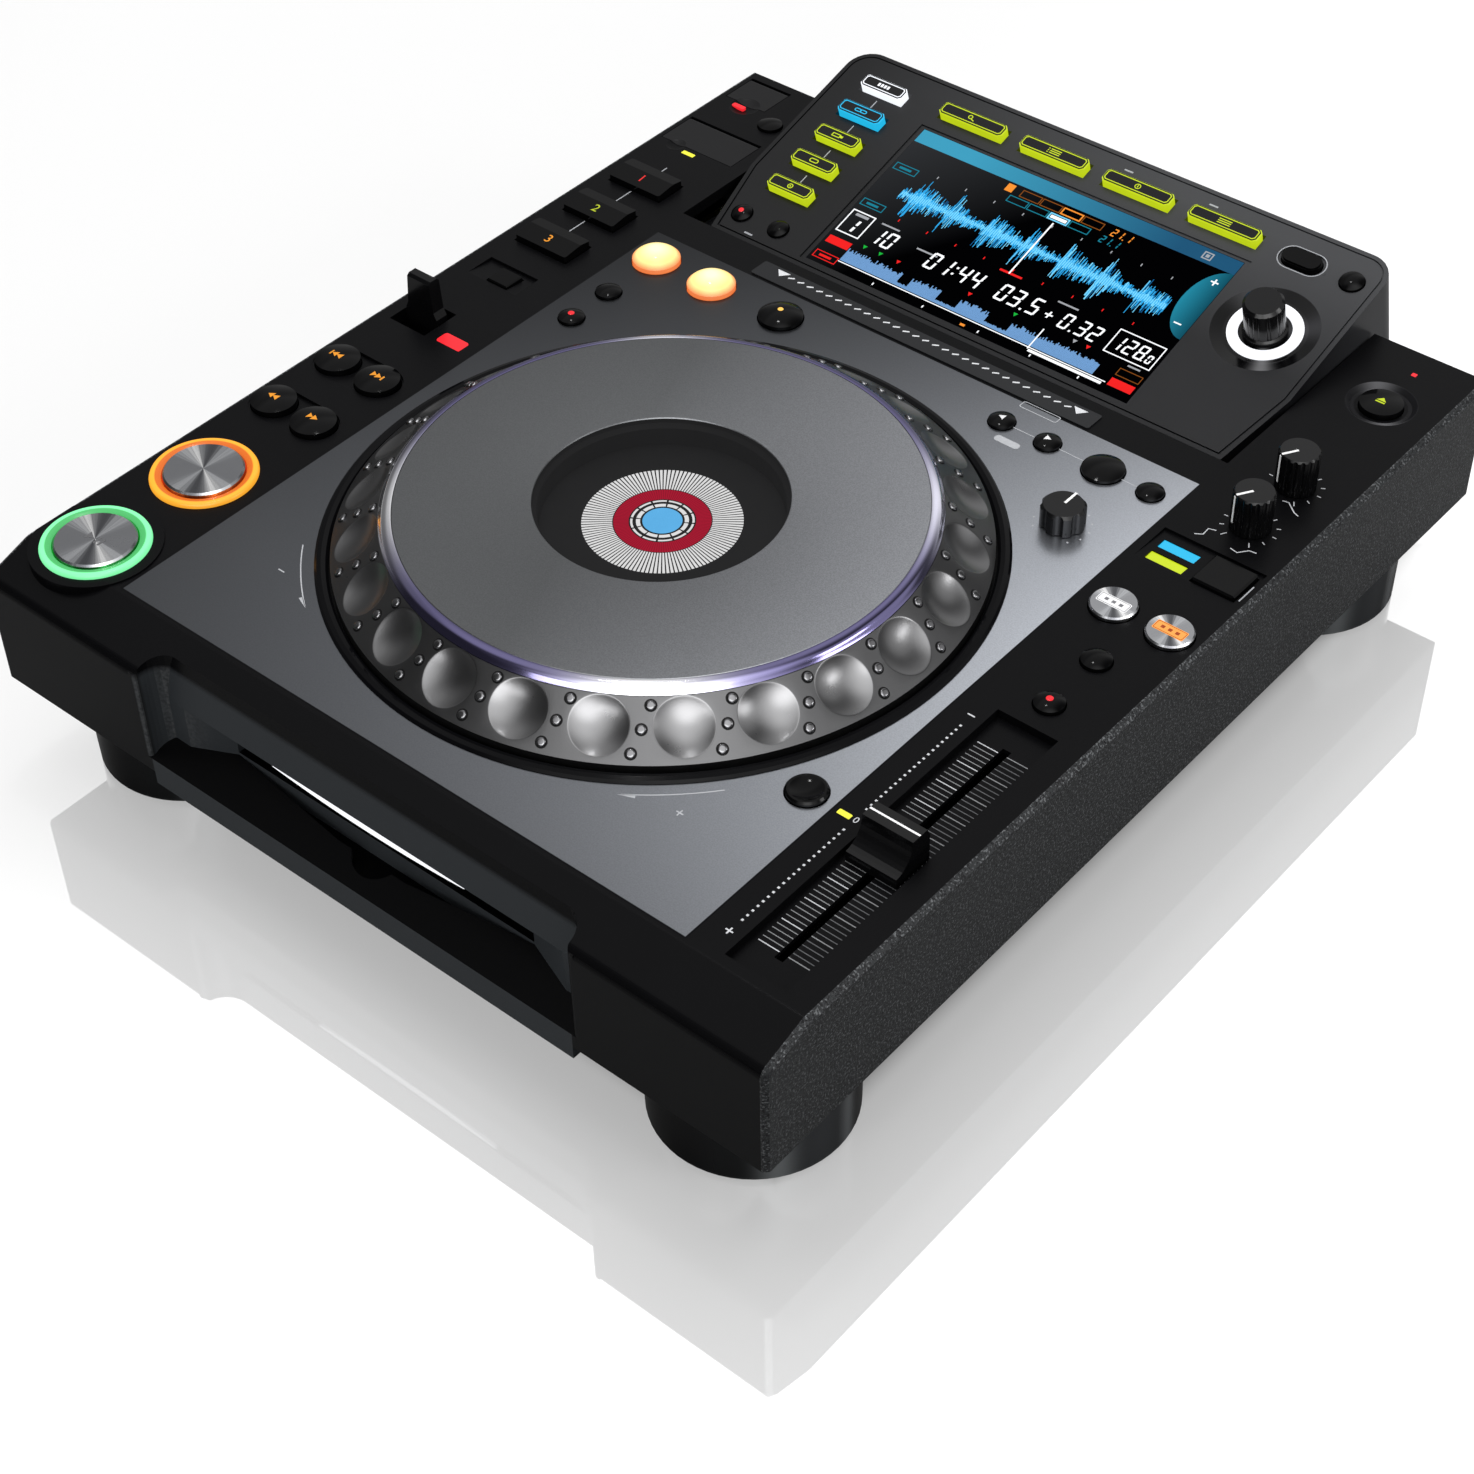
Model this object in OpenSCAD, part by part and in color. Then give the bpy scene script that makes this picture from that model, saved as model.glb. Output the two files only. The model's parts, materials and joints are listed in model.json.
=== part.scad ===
// Tabletop disc player for DJs. Millimetres, +Z up, front towards -Y.
// The origin is on the floor, under the middle of the overall footprint.

/* [Case] */
// Width of the black strip at each side of the centre panel
strip_w = 42.3; // [41.8:0.1:48]
// Height of the case, underside to deck
body_h = 47.6; // [46:0.2:56]
// Depth of the sloping lip in front of the deck
lip_run = 18.5; // [17:0.5:19]
// Height of the sloping lip
lip_drop = 6; // [4:0.5:8]
// Rounding where the lip meets the front face
lip_round = 4; // [2:0.5:6]
// Thickness of the side plates
plate_t = 2; // [1.6:0.1:2.4]
// Bevel along the top edge of the side plates
plate_bevel = 1.5; // [0.5:0.1:1.5]
// Wall of the lower case
case_t = 2; // [1.5:0.1:2.5]
// Thickness of the deck
deck_t = 4.5; // [4.2:0.1:5]
// Wall of the front fascia
fascia_t = 3; // [2:0.1:3.5]
// Vent slots in each group under the case
vents = 8; // [4:1:10]

/* [Feet] */
// Height of the feet
foot_h = 34.3; // [25:0.1:40]
// Radius of a foot
foot_r = 32.3; // [28:0.1:33]
// Distance of the feet from the sides
foot_side = 6.5; // [4:0.1:10]
// Distance of the front feet from the front face
foot_front = 8.1; // [6:0.1:14]
// Gap between the front feet and the hanging lip of the slot
foot_lip = 0.3; // [0.2:0.1:3]
// Distance of the rear feet from the rear panel
foot_rear = 4.4; // [3:0.1:14]
// Thickness of the rubber pad under a foot
pad_t = 2.5; // [1.5:0.1:4]

/* [Centre panel] */
// Metal of the panel beside the jog bezel
panel_margin = 6.3; // [5.5:0.1:12]
// Thickness of the panel, which lies flush in the deck
panel_t = 1.5; // [1:0.1:2]
// Distance of the panel from the front face
panel_front = 19.7; // [19.2:0.1:21]
// Metal in front of the jog bezel
jog_margin = 13.95; // [13:0.05:20]
// Metal behind the jog bezel
panel_behind = 19.75; // [19:0.05:28]
// Distance from the panel to the screen unit's lower edge
panel_rear = 22.2; // [20:0.1:24]

/* [Disc slot] */
// Width of the slot
slot_w = 124.4; // [122:0.2:128]
// Height of the slot
slot_h = 6; // [5:0.1:7]
// Height of the slot's lower edge above the underside
slot_z = 14; // [13.5:0.1:16]
// How far the lower lip hangs below the case
lip_hang = 5; // [2:0.5:8]
// Height of the lower lip's top edge above the underside
sill_z = 5.5; // [4:0.1:7]
// Height of the brow's lower edge above the underside
brow_z = 26.3; // [25:0.1:28]
// Distance of the brow's lower edge behind the front face
brow_in = 8.5; // [7:0.1:9]
// Distance of the brow's top edge behind the front face
brow_top_in = 10.4; // [10:0.1:11]
// Distance of the slot behind the front face
throat_in = 13.8; // [12.5:0.1:15]
// Radius of the finger notch in the floor
notch_r = 10; // [7:0.5:12]

/* [Jog wheel] */
// Radius of the wheel's skirt
skirt_r = 104.2; // [96:0.1:114]
// Width of the bezel ring around the wheel
bezel_w = 4.4; // [3.6:0.1:6]
// Width of the dimpled cone, seen from above
cone_w = 16; // [14.5:0.1:18]
// Height of the top plate above the deck
top_h = 17.6; // [16:0.1:20]
// Radius of the bearing post
post_r = 38.95; // [36:0.01:39.2]
// Running clearance on the post
post_fit = 0.05; // [0.03:0.01:0.1]
// Height of the label display above the deck
label_h = 8; // [6:0.1:12]
// Number of finger dimples
dimples = 24; // [18:1:26]
// Radius of a dimple's rim
dimple_r = 9.2; // [7:0.1:9.6]
// Depth of a dimple
dimple_d = 2.2; // [1:0.1:2.4]
// Radius of a grip stud
stud_r = 1.9; // [1:0.1:2.2]

/* [Screen unit] */
// Tilt of the screen panel
tilt = 15.8; // [12:0.1:20]
// Length of the panel along its slope
unit_l = 100; // [98:0.5:104]
// Depth of the unit behind its top edge
unit_deep = 53; // [50:0.2:56]
// Distance from the panel's lower edge to the rear panel of the case
unit_y = 84; // [80:0.2:88]
// How far the panel's lower edge lies below the deck
unit_sink = 6.4; // [4:0.05:8]
// Wall of the unit's housing
unit_t = 3; // [2.5:0.1:3.5]
// Rounding of the panel's top corners
unit_round = 10; // [5:0.5:14]
// How much narrower each side is at the lower edge
unit_taper = 6.1; // [3:0.1:8]
// Panel beside the screen's glass
screen_side = 46.5; // [46:0.1:50]
// Panel above the screen's glass
screen_above = 23.3; // [22:0.1:27]
// Distance from the panel's lower edge to the glass
screen_v = 4.9; // [4.2:0.1:6]
// Radius of the hinge-like bar in front of the unit
bar_r = 2.6; // [2:0.1:3]

/* [Buttons] */
// Travel of the push buttons
travel = 1.2; // [0.6:0.1:1.6]
// Gap between a button and its hole
gap = 0.35; // [0.3:0.05:0.5]
// Rim under the deck that keeps a button in
keep_w = 1; // [0.8:0.1:1.1]
// Thickness of that rim
keep_t = 1.2; // [1:0.1:1.6]
// Radius of the play and cue discs
disc_r = 13.4; // [12:0.1:13.6]
// Radius of the lit rings around them
ring_r = 17.9; // [17:0.1:18.2]
// Radius of the raised boss around play
boss_r = 21.5; // [20.5:0.1:22]
// Height of the raised boss above the deck
boss_h = 0.6; // [0.2:0.1:1.2]
// Radius of the search buttons
search_r = 7.8; // [7:0.1:8]
// Width of a hot cue pad
pad_w = 24.2; // [20:0.1:26]
// Length of a hot cue pad
pad_l = 13.2; // [10:0.1:14]
// Width of a source button
source_w = 19.3; // [15:0.1:20.5]
// Gap between two menu buttons
menu_gap = 7.6; // [4:0.1:10]
// Length of source and menu buttons
key_l = 6.3; // [5.6:0.1:7.4]
// Height of source and menu buttons above the panel
key_h = 2.8; // [2:0.1:4]

/* [Knobs, lever and slider] */
// Radius of the vinyl speed knobs
knob_r = 6.8; // [6:0.1:7.4]
// Height of the vinyl speed knobs
knob_h = 14.5; // [10:0.1:16]
// Radius of the jog adjust knob
adjust_r = 7.4; // [6:0.1:8]
// Height of the jog adjust knob
adjust_h = 8; // [6:0.1:11]
// Radius of the rotary selector
selector_r = 7.8; // [6.5:0.1:8.6]
// Height of the rotary selector above the panel
selector_h = 14; // [10:0.1:14]
// Radius of the dish around the rotary selector
dish_r = 18.6; // [17:0.1:19]
// Radius of the shafts of knobs
shaft_r = 3; // [2.5:0.05:3.2]
// Running clearance of shafts and pins
fit = 0.05; // [0.03:0.01:0.1]
// Width of the tempo slider's knob
slider_w = 17.8; // [14:0.1:19]
// Depth of the tempo slider's recess
slider_deep = 3; // [2:0.1:3.2]
// Height of the direction lever above the deck
lever_h = 16; // [10:0.5:18]
// Width of the direction lever
lever_w = 14.6; // [10:0.1:15]
// Thickness of the direction lever
lever_t = 5; // [3:0.1:5.6]
// Depth of the lever's pivot below the deck
lever_pivot = 14; // [12:0.5:16]

/* [Doors] */
// Width of the USB door
usb_w = 18.6; // [17:0.1:19]
// Length of the USB door
usb_l = 15.6; // [14:0.1:16]
// Width of the SD card door
sd_w = 33.6; // [30:0.1:34]
// Length of the SD card door
sd_l = 17.4; // [15:0.1:18]
// Thickness of the doors
door_t = 1.6; // [1.2:0.1:2]
// Radius of the doors' hinge barrels
barrel_r = 1.8; // [1.5:0.1:1.8]
// Depth of the wells under the doors
well_deep = 14; // [12:0.2:14]
// Opening angle of the doors
door_open = 95; // [60:1:95]

/* [Hidden] */
$fn = 64;
eps = 0.01;
joint_gap = 0.3;
// How far cutting shapes run past a thin plate
overshoot = 5;

// The wheel sets the bezel, the panel, the screen unit and the case around it
bezel_in = skirt_r + 0.8;
bezel_r = bezel_in + bezel_w;
cone_r = skirt_r - cone_w;
dimple_at = skirt_r - 0.54375 * cone_w;
rim_r = cone_r - 1.1;
top_r = cone_r - 4.4;
skirt_in = skirt_r - 5.6;
window_r = post_r + 1.35;
panel_x = bezel_r + panel_margin;
deck_x = panel_x + strip_w;
half_w = deck_x + plate_t;
strip_x = (panel_x + deck_x) / 2;
jog_y = panel_front + jog_margin + bezel_r;
panel_back = jog_y + bezel_r + panel_behind;
unit_front = panel_back + panel_rear;
body_d = unit_front + unit_y;
unit_x = panel_x - 0.2;
screen_w = 2 * (unit_x - screen_side);
screen_l = unit_l - screen_v - screen_above;
overall_d = unit_front + unit_l * cos(tilt) + unit_deep * sin(tilt);
y0 = -overall_d / 2;
deck_z = foot_h + body_h;
under_z = deck_z - deck_t;
foot_x = half_w - foot_side - foot_r;
recess_w = 2 * (foot_x - foot_r - foot_lip);
post_y = y0 + jog_y;

// A place on the left strip, given outwards from the strip's middle and back from the front face
function left(at) = [-strip_x - at[0], y0 + at[1]];
// The same on the right strip
function right(at) = [strip_x + at[0], y0 + at[1]];
// The same on the centre panel, given inwards from its left or right edge (side -1 or 1) and from its rear edge
function panel(side, at) = [side * (panel_x - at[0]), y0 + panel_back - at[1]];
// A place on a strip that keeps its distance from the rear panel
function rear(side, at) = [side * (strip_x + at[0]), y0 + body_d - at[1]];

// Left strip
play_at = left([1.1, 29]);
cue_at = left([1.1, 74.7]);
search_x = 2;
search_pitch = 19;
search_back_at = left([search_x + search_pitch / 2, 115.4]);
search_forward_at = left([search_x - search_pitch / 2, 115.4]);
track_back_at = left([search_x + search_pitch / 2, 145]);
track_forward_at = left([search_x - search_pitch / 2, 145]);
lever_at = left([7.7, jog_y + 40.95]);
lever_slot_w = 16.8;
lever_slot_front = 9.8;
lever_slot_back = 6;
lever_foot = 1.2;
rec_at = left([1.1, jog_y + 73.25]);
rec_w = 9.2;
rec_l = 8.6;
rec_recess_w = 22.8;
rec_recess_l = 12;
pad_pitch = 25.1;
pad_at = [for (i = [0 : 2]) rear(-1, [3, 85 + pad_pitch * i])];
usb_at = rear(-1, [9.8, 4.2]);
sd_at = rear(-1, [2.6, 39.6]);
usb_stop_at = rear(-1, [-7.9, 26.4]);
usb_lamp_at = rear(-1, [10.7, 22.6]);
sd_lamp_at = rear(-1, [3.7, 60.2]);
reverse_at = left([-10.9, jog_y + 34.55]);

// Centre panel
loop_in_at = panel(-1, [11.8, 13.8]);
loop_out_at = panel(-1, [37.3, 13.8]);
reloop_at = panel(-1, [68.2, 13.2]);
call_back_at = panel(1, [69.1, 13.1]);
call_forward_at = panel(1, [50.7, 13.1]);
delete_at = panel(1, [28.5, 13.5]);
memory_at = panel(1, [10.2, 13.7]);
loop_mode_at = panel(-1, [11.8, 39.2]);
slip_at = panel(-1, [12, 58.6]);
adjust_at = panel(1, [23.2, 43.7]);
reset_at = [panel_x - 10.1, post_y - 58.65];

// Right strip
standby_at = rear(1, [1.8, 12.2]);
eject_at = rear(1, [1.4, 32.7]);
brake_at = rear(1, [2.4, 87.8]);
start_at = rear(1, [2.4, 114.1]);
mode_at = rear(1, [10, 140.6]);
mode_w = 15.6;
mode_l = 14.4;
mode_recess_w = 37.6;
mode_recess_l = 17.4;
mode_recess_at = rear(1, [0.6, 139.7]);
vinyl_window_at = rear(1, [-8.6, 137.6]);
disc_window_at = rear(1, [-8.6, 144.8]);
sync_at = right([-9.2, jog_y + 62.65]);
master_at = right([11.3, jog_y + 62.65]);
range_at = right([1, jog_y + 38.95]);
tempo_lock_at = right([1, jog_y + 14.75]);
// The tempo slider fills the strip between the lip and the master tempo button
slider_low = lip_run + 3.7;
slider_high = jog_y + 3.55;
slider_mid = (slider_low + slider_high) / 2 - 0.2;
slider_at = right([1.4, slider_mid]);
slider_travel = slider_mid - slider_low - 13;
slider_recess_w = 21.6;
slider_slot_w = 3;
zero_lamp_at = right([-17.4, slider_mid]);

// Screen unit, as places on its panel: sideways and up the slope
source_x = 22.3 - unit_x;
source_low = 27.7;
source_pitch = (unit_l - 15.3 - source_low) / 4;
source_v = [for (i = [4 : -1 : 0]) source_low + source_pitch * i];
menu_v = unit_l - 13.4;
menu_w = (screen_w - 1.6 - 3 * menu_gap) / 4;
menu_pitch = menu_w + menu_gap;
menu_mid = 0.4;
back_at = [unit_x - 29.8, unit_l - 13.8];
tag_at = [unit_x - 10, unit_l - 14.1];
selector_at = [unit_x - 24.2, unit_l - 45.4];
quantize_at = [12.6 - unit_x, 10.4];
time_at = [29.6 - unit_x, 10.4];
light_ring_r = 13;
light_ring_in = 9.2;

// Round buttons of the deck: place, radius, height above the deck, crown
round_buttons = [
    ["search_back", search_back_at, search_r, 3.2, 1.4],
    ["search_forward", search_forward_at, search_r, 3.2, 1.4],
    ["track_search_back", track_back_at, search_r, 3.2, 1.4],
    ["track_search_forward", track_forward_at, search_r, 3.2, 1.4],
    ["usb_stop_button", usb_stop_at, 4.6, 2, 0.9],
    ["loop_in_button", loop_in_at, 8.6, 5.2, 3.8],
    ["loop_out_button", loop_out_at, 8.6, 5.2, 3.8],
    ["reloop_button", reloop_at, 7.9, 3.6, 2.2],
    ["loop_mode_button", loop_mode_at, 4.6, 2.2, 1.2],
    ["slip_button", slip_at, 4.6, 2.2, 1.2],
    ["call_back_button", call_back_at, 4.6, 2.2, 1.2],
    ["call_forward_button", call_forward_at, 4.6, 2.2, 1.2],
    ["delete_button", delete_at, 7.2, 2.6, 1.4],
    ["memory_button", memory_at, 4.6, 2.2, 1.2],
    ["tempo_range_button", range_at, 4.9, 2.4, 1.3],
    ["master_tempo_button", tempo_lock_at, 4.9, 2.4, 1.3]
];
function button(name) = [for (b = round_buttons) if (b[0] == name) b][0];

// Round buttons with a flat or dished top: place, radius, height, edge
eject_r = 7.3;
sync_r = 7.7;
reset_r = 6.5;

// Jog wheel, heights from the deck
skirt_low = -1.2;
skirt_top = 2.5;
cone_top = top_h - 2.6;
rim_h = top_h - 1.6;
hub_t = 4;
well_floor = -2;
post_wall = 5;
label_t = 1.5;
bezel_h = 1.4;

// Socket row of the rear panel, as distances from the middle and above the underside
inlet_at = [deck_x - 22, 13];
power_at = [deck_x - 12, body_h - 11.6];
audio_x = [40, 54];
digital_x = 74;
control_x = 92;
link_x = 14 - deck_x;
computer_x = 32 - deck_x;
jack_z = 11;
jack_r = 4.2;

// Positions along a rounded corner b between a and c, as an arc of n steps
function unit_to(a, b) = (b - a) / norm(b - a);
function corner(a, b, c, r, n = 8) =
    let (u = unit_to(b, a), v = unit_to(b, c))
    let (half = acos(u * v) / 2)
    let (t = r / tan(half), o = b + unit_to([0, 0], u + v) * r / sin(half))
    let (p = b + u * t - o, q = b + v * t - o)
    [for (i = [0 : n]) let (k = i / n) o + unit_to([0, 0], p * (1 - k) + q * k) * r];

// Side outline of the case, drawn in by d
function case_profile(d) =
    let (slope = lip_drop / lip_run, slant = d * sqrt(1 + slope * slope))
    let (low = body_h - lip_drop)
    let (a = [d, low + slope * d - slant], b = [(lip_drop - d + slant) / slope, body_h - d])
    concat(
        [[d, 0]],
        corner([d, 0], a, b, lip_round),
        corner(a, b, [body_d, body_h - d], lip_round),
        [[body_d, body_h - d], [body_d, 0]]
    );

// Turns an outline of (depth, height) into a slab across the body, between two distances from the middle
module across(x_from, x_to) {
    translate([x_from, y0, foot_h])
        rotate([90, 0, 90])
            linear_extrude(x_to - x_from) children();
}

module box(low, high) {
    translate(low) cube(high - low);
}

// Puts children on the screen panel: sideways, up the slope, out of the panel
module on_panel(u = 0, v = 0, w = 0) {
    translate([0, y0 + unit_front, deck_z - unit_sink])
        rotate([tilt, 0, 0])
            translate([u, v, w]) children();
}

// Keeps children on the deck at a place
module on_deck(at, h = 0) {
    translate([at[0], at[1], deck_z + h]) children();
}

// A cylinder whose top is a shallow dome
module dome(r, low, top, crown) {
    ball = (r * r + crown * crown) / (2 * crown);
    intersection() {
        translate([0, 0, low]) cylinder(r = r, h = top - low);
        translate([0, 0, top - ball]) sphere(r = ball);
    }
}

// A turned disc with a small edge break
module turned(r, low, top, edge) {
    rotate_extrude()
        polygon([[0, low], [r, low], [r, top - edge], [r - edge, top], [0, top]]);
}

// The rim that keeps a button under a plate of thickness t
module keeper(r, t) {
    translate([0, 0, -t - joint_gap - keep_t]) cylinder(r = r + keep_w, h = keep_t);
}

module block_keeper(w, l, t) {
    translate([-w / 2 - keep_w, -l / 2 - keep_w, -t - joint_gap - keep_t])
        cube([w + 2 * keep_w, l + 2 * keep_w, keep_t]);
}

module dome_button(b) {
    on_deck(b[1]) {
        dome(b[2], -deck_t - joint_gap - eps, b[3], b[4]);
        keeper(b[2], deck_t);
    }
}

// A block with cut corners and a bevelled top, for rectangular buttons
module cut_block(w, l, low, top, cut, bevel) {
    x = w / 2;
    y = l / 2;
    intersection() {
        translate([0, 0, low])
            linear_extrude(top - low)
                polygon([
                    [cut - x, -y], [x - cut, -y], [x, cut - y], [x, y - cut],
                    [x - cut, y], [cut - x, y], [-x, y - cut], [-x, cut - y]
                ]);
        translate([0, y + 1, 0])
            rotate([90, 0, 0])
                linear_extrude(l + 2)
                    polygon([[-x, low], [x, low], [x, top - bevel], [x - bevel, top], [bevel - x, top],
                        [-x, top - bevel]]);
        translate([-x - 1, 0, 0])
            rotate([90, 0, 90])
                linear_extrude(w + 2)
                    polygon([[-y, low], [y, low], [y, top - bevel], [y - bevel, top], [bevel - y, top],
                        [-y, top - bevel]]);
    }
}

// A slot with round ends along x
module stadium(w, l, low, top) {
    for (s = [-1, 1])
        translate([s * (w - l) / 2, 0, low]) cylinder(r = l / 2, h = top - low);
    translate([(l - w) / 2, -l / 2, low]) cube([w - l, l, top - low]);
}

// Pocket that is deep at its rear edge and runs out at its front edge
module sloped_pocket(w, l, deep) {
    translate([-w / 2, 0, 0])
        rotate([90, 0, 90])
            linear_extrude(w)
                polygon([[-l / 2, 0], [-l / 2, 1], [l / 2, 1], [l / 2, -deep]]);
}

/* ---- case ---- */

module lower_case() {
    inner_x = deck_x - case_t;
    wall_y = body_d - case_t;
    color("#26272a") difference() {
        union() {
            box([-deck_x, y0 + fascia_t, foot_h], [deck_x, y0 + body_d, foot_h + case_t]);
            // Side walls, which end below the wells of the doors
            for (s = [0, 1])
                mirror([s, 0, 0])
                    box([inner_x, y0 + fascia_t, foot_h], [deck_x, y0 + body_d, deck_z - well_deep - joint_gap]);
            box([-deck_x, y0 + wall_y, foot_h], [deck_x, y0 + body_d, under_z]);
        }
        // The disc slot's block comes down through the front of the pan
        box([-block_x - gap, y0, foot_h - 1], [block_x + gap, y0 + block_d + gap, deck_z]);
        // The screen unit comes down over the rear wall
        box([-unit_x - gap, y0 + wall_y - 1, foot_h + unit_low], [unit_x + gap, y0 + body_d + 1, deck_z]);
        rear_openings();
        for (s = [-1, 1], i = [0 : vents - 1])
            translate([s * vent_x, y0 + vent_front + i * vent_pitch, foot_h - 1])
                stadium(vent_w, vent_l, 0, case_t + 2);
    }
}

block_x = recess_w / 2 + 3;
block_d = lip_run;
unit_low = body_h - unit_sink + unit_l * sin(tilt) - unit_deep * cos(tilt);
vent_x = 45;
vent_w = 50;
vent_l = 2.4;
vent_pitch = 6;
vent_front = 285;

// Openings of the sockets in the rear panel
module rear_openings() {
    through = case_t + 2;
    translate([inlet_at[0] - inlet_w / 2, y0 + body_d - through + 1, foot_h + inlet_at[1] - inlet_l / 2])
        cube([inlet_w, through, inlet_l]);
    translate([power_at[0], y0 + body_d + 1, foot_h + power_at[1]])
        rotate([90, 0, 0]) cylinder(r = power_r + gap, h = through);
    for (x = concat(audio_x, [digital_x, control_x]))
        translate([x, y0 + body_d + 1, foot_h + jack_z])
            rotate([90, 0, 0]) cylinder(r = jack_r, h = through);
    for (x = [link_x, computer_x])
        translate([x - link_w / 2, y0 + body_d - through + 1, foot_h + case_t + board_z])
            cube([link_w, through, link_l]);
}

inlet_w = 27.6;
inlet_l = 19.8;
power_r = 4.5;
link_w = 14;
link_l = 11;

module side_plates() {
    color("#303236") for (s = [0, 1])
        mirror([s, 0, 0]) {
            across(deck_x, half_w - plate_bevel) polygon(case_profile(0));
            hull() {
                across(half_w - plate_bevel, half_w - plate_bevel + eps) polygon(case_profile(0));
                across(half_w - eps, half_w) polygon(case_profile(plate_bevel));
            }
        }
}

// Recess of the front, above its floor and in front of the brow
module slot_recess() {
    x = recess_w / 2;
    edge = 2.2;
    r = brow_top_in - edge - 0.2;
    outer = concat(
        [[x + edge, -1]],
        corner([x + 40, 0], [x, 0], [x, 20], edge),
        corner([x, 0], [x, brow_top_in], [0, brow_top_in], r)
    );
    intersection() {
        translate([0, y0, foot_h - 1])
            linear_extrude(body_h + 2)
                polygon(concat(outer, [for (i = [len(outer) - 1 : -1 : 0]) [-outer[i][0], outer[i][1]]]));
        across(-x - 10, x + 10)
            polygon([[-2, sill_z], [0, sill_z], [brow_in, floor_at(brow_in)], [brow_in, brow_z],
                [brow_top_in, body_h - 2], [brow_top_in, body_h + 1], [-2, body_h + 1]]);
    }
}

// Height of the recess floor at a distance behind the front face
function floor_at(v) = sill_z + (slot_z - 1 - sill_z) * v / throat_in;

// Funnel that narrows from the recess to the slot, under the brow
module slot_throat() {
    x = recess_w / 2;
    s = slot_w / 2;
    reach = 8;
    intersection() {
        translate([0, y0, foot_h - 1])
            linear_extrude(body_h + 2)
                polygon([[-x, -1], [x, -1], [x, 0], [x - reach, reach], [s, throat_in], [-s, throat_in],
                    [reach - x, reach], [-x, 0]]);
        across(-x - 10, x + 10)
            polygon([[-2, sill_z], [0, sill_z], [throat_in + eps, floor_at(throat_in)],
                [throat_in + eps, brow_z], [-2, brow_z]]);
    }
    // The floor's rear edge runs forward to the notch in the middle
    translate([0, y0, foot_h + sill_z + 1])
        linear_extrude(brow_z - sill_z - 2.2)
            union() {
                polygon([[-s, throat_in], [-14, throat_in - 4.8], [14, throat_in - 4.8], [s, throat_in]]);
                intersection() {
                    translate([0, throat_in + 0.6]) circle(r = notch_r);
                    translate([-s, 0]) square([2 * s, throat_in]);
                }
            }
    // The slot itself, through to the drive
    box([-s, y0 + throat_in - 1, foot_h + slot_z], [s, y0 + block_d + 1, foot_h + slot_z + slot_h]);
}

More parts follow.
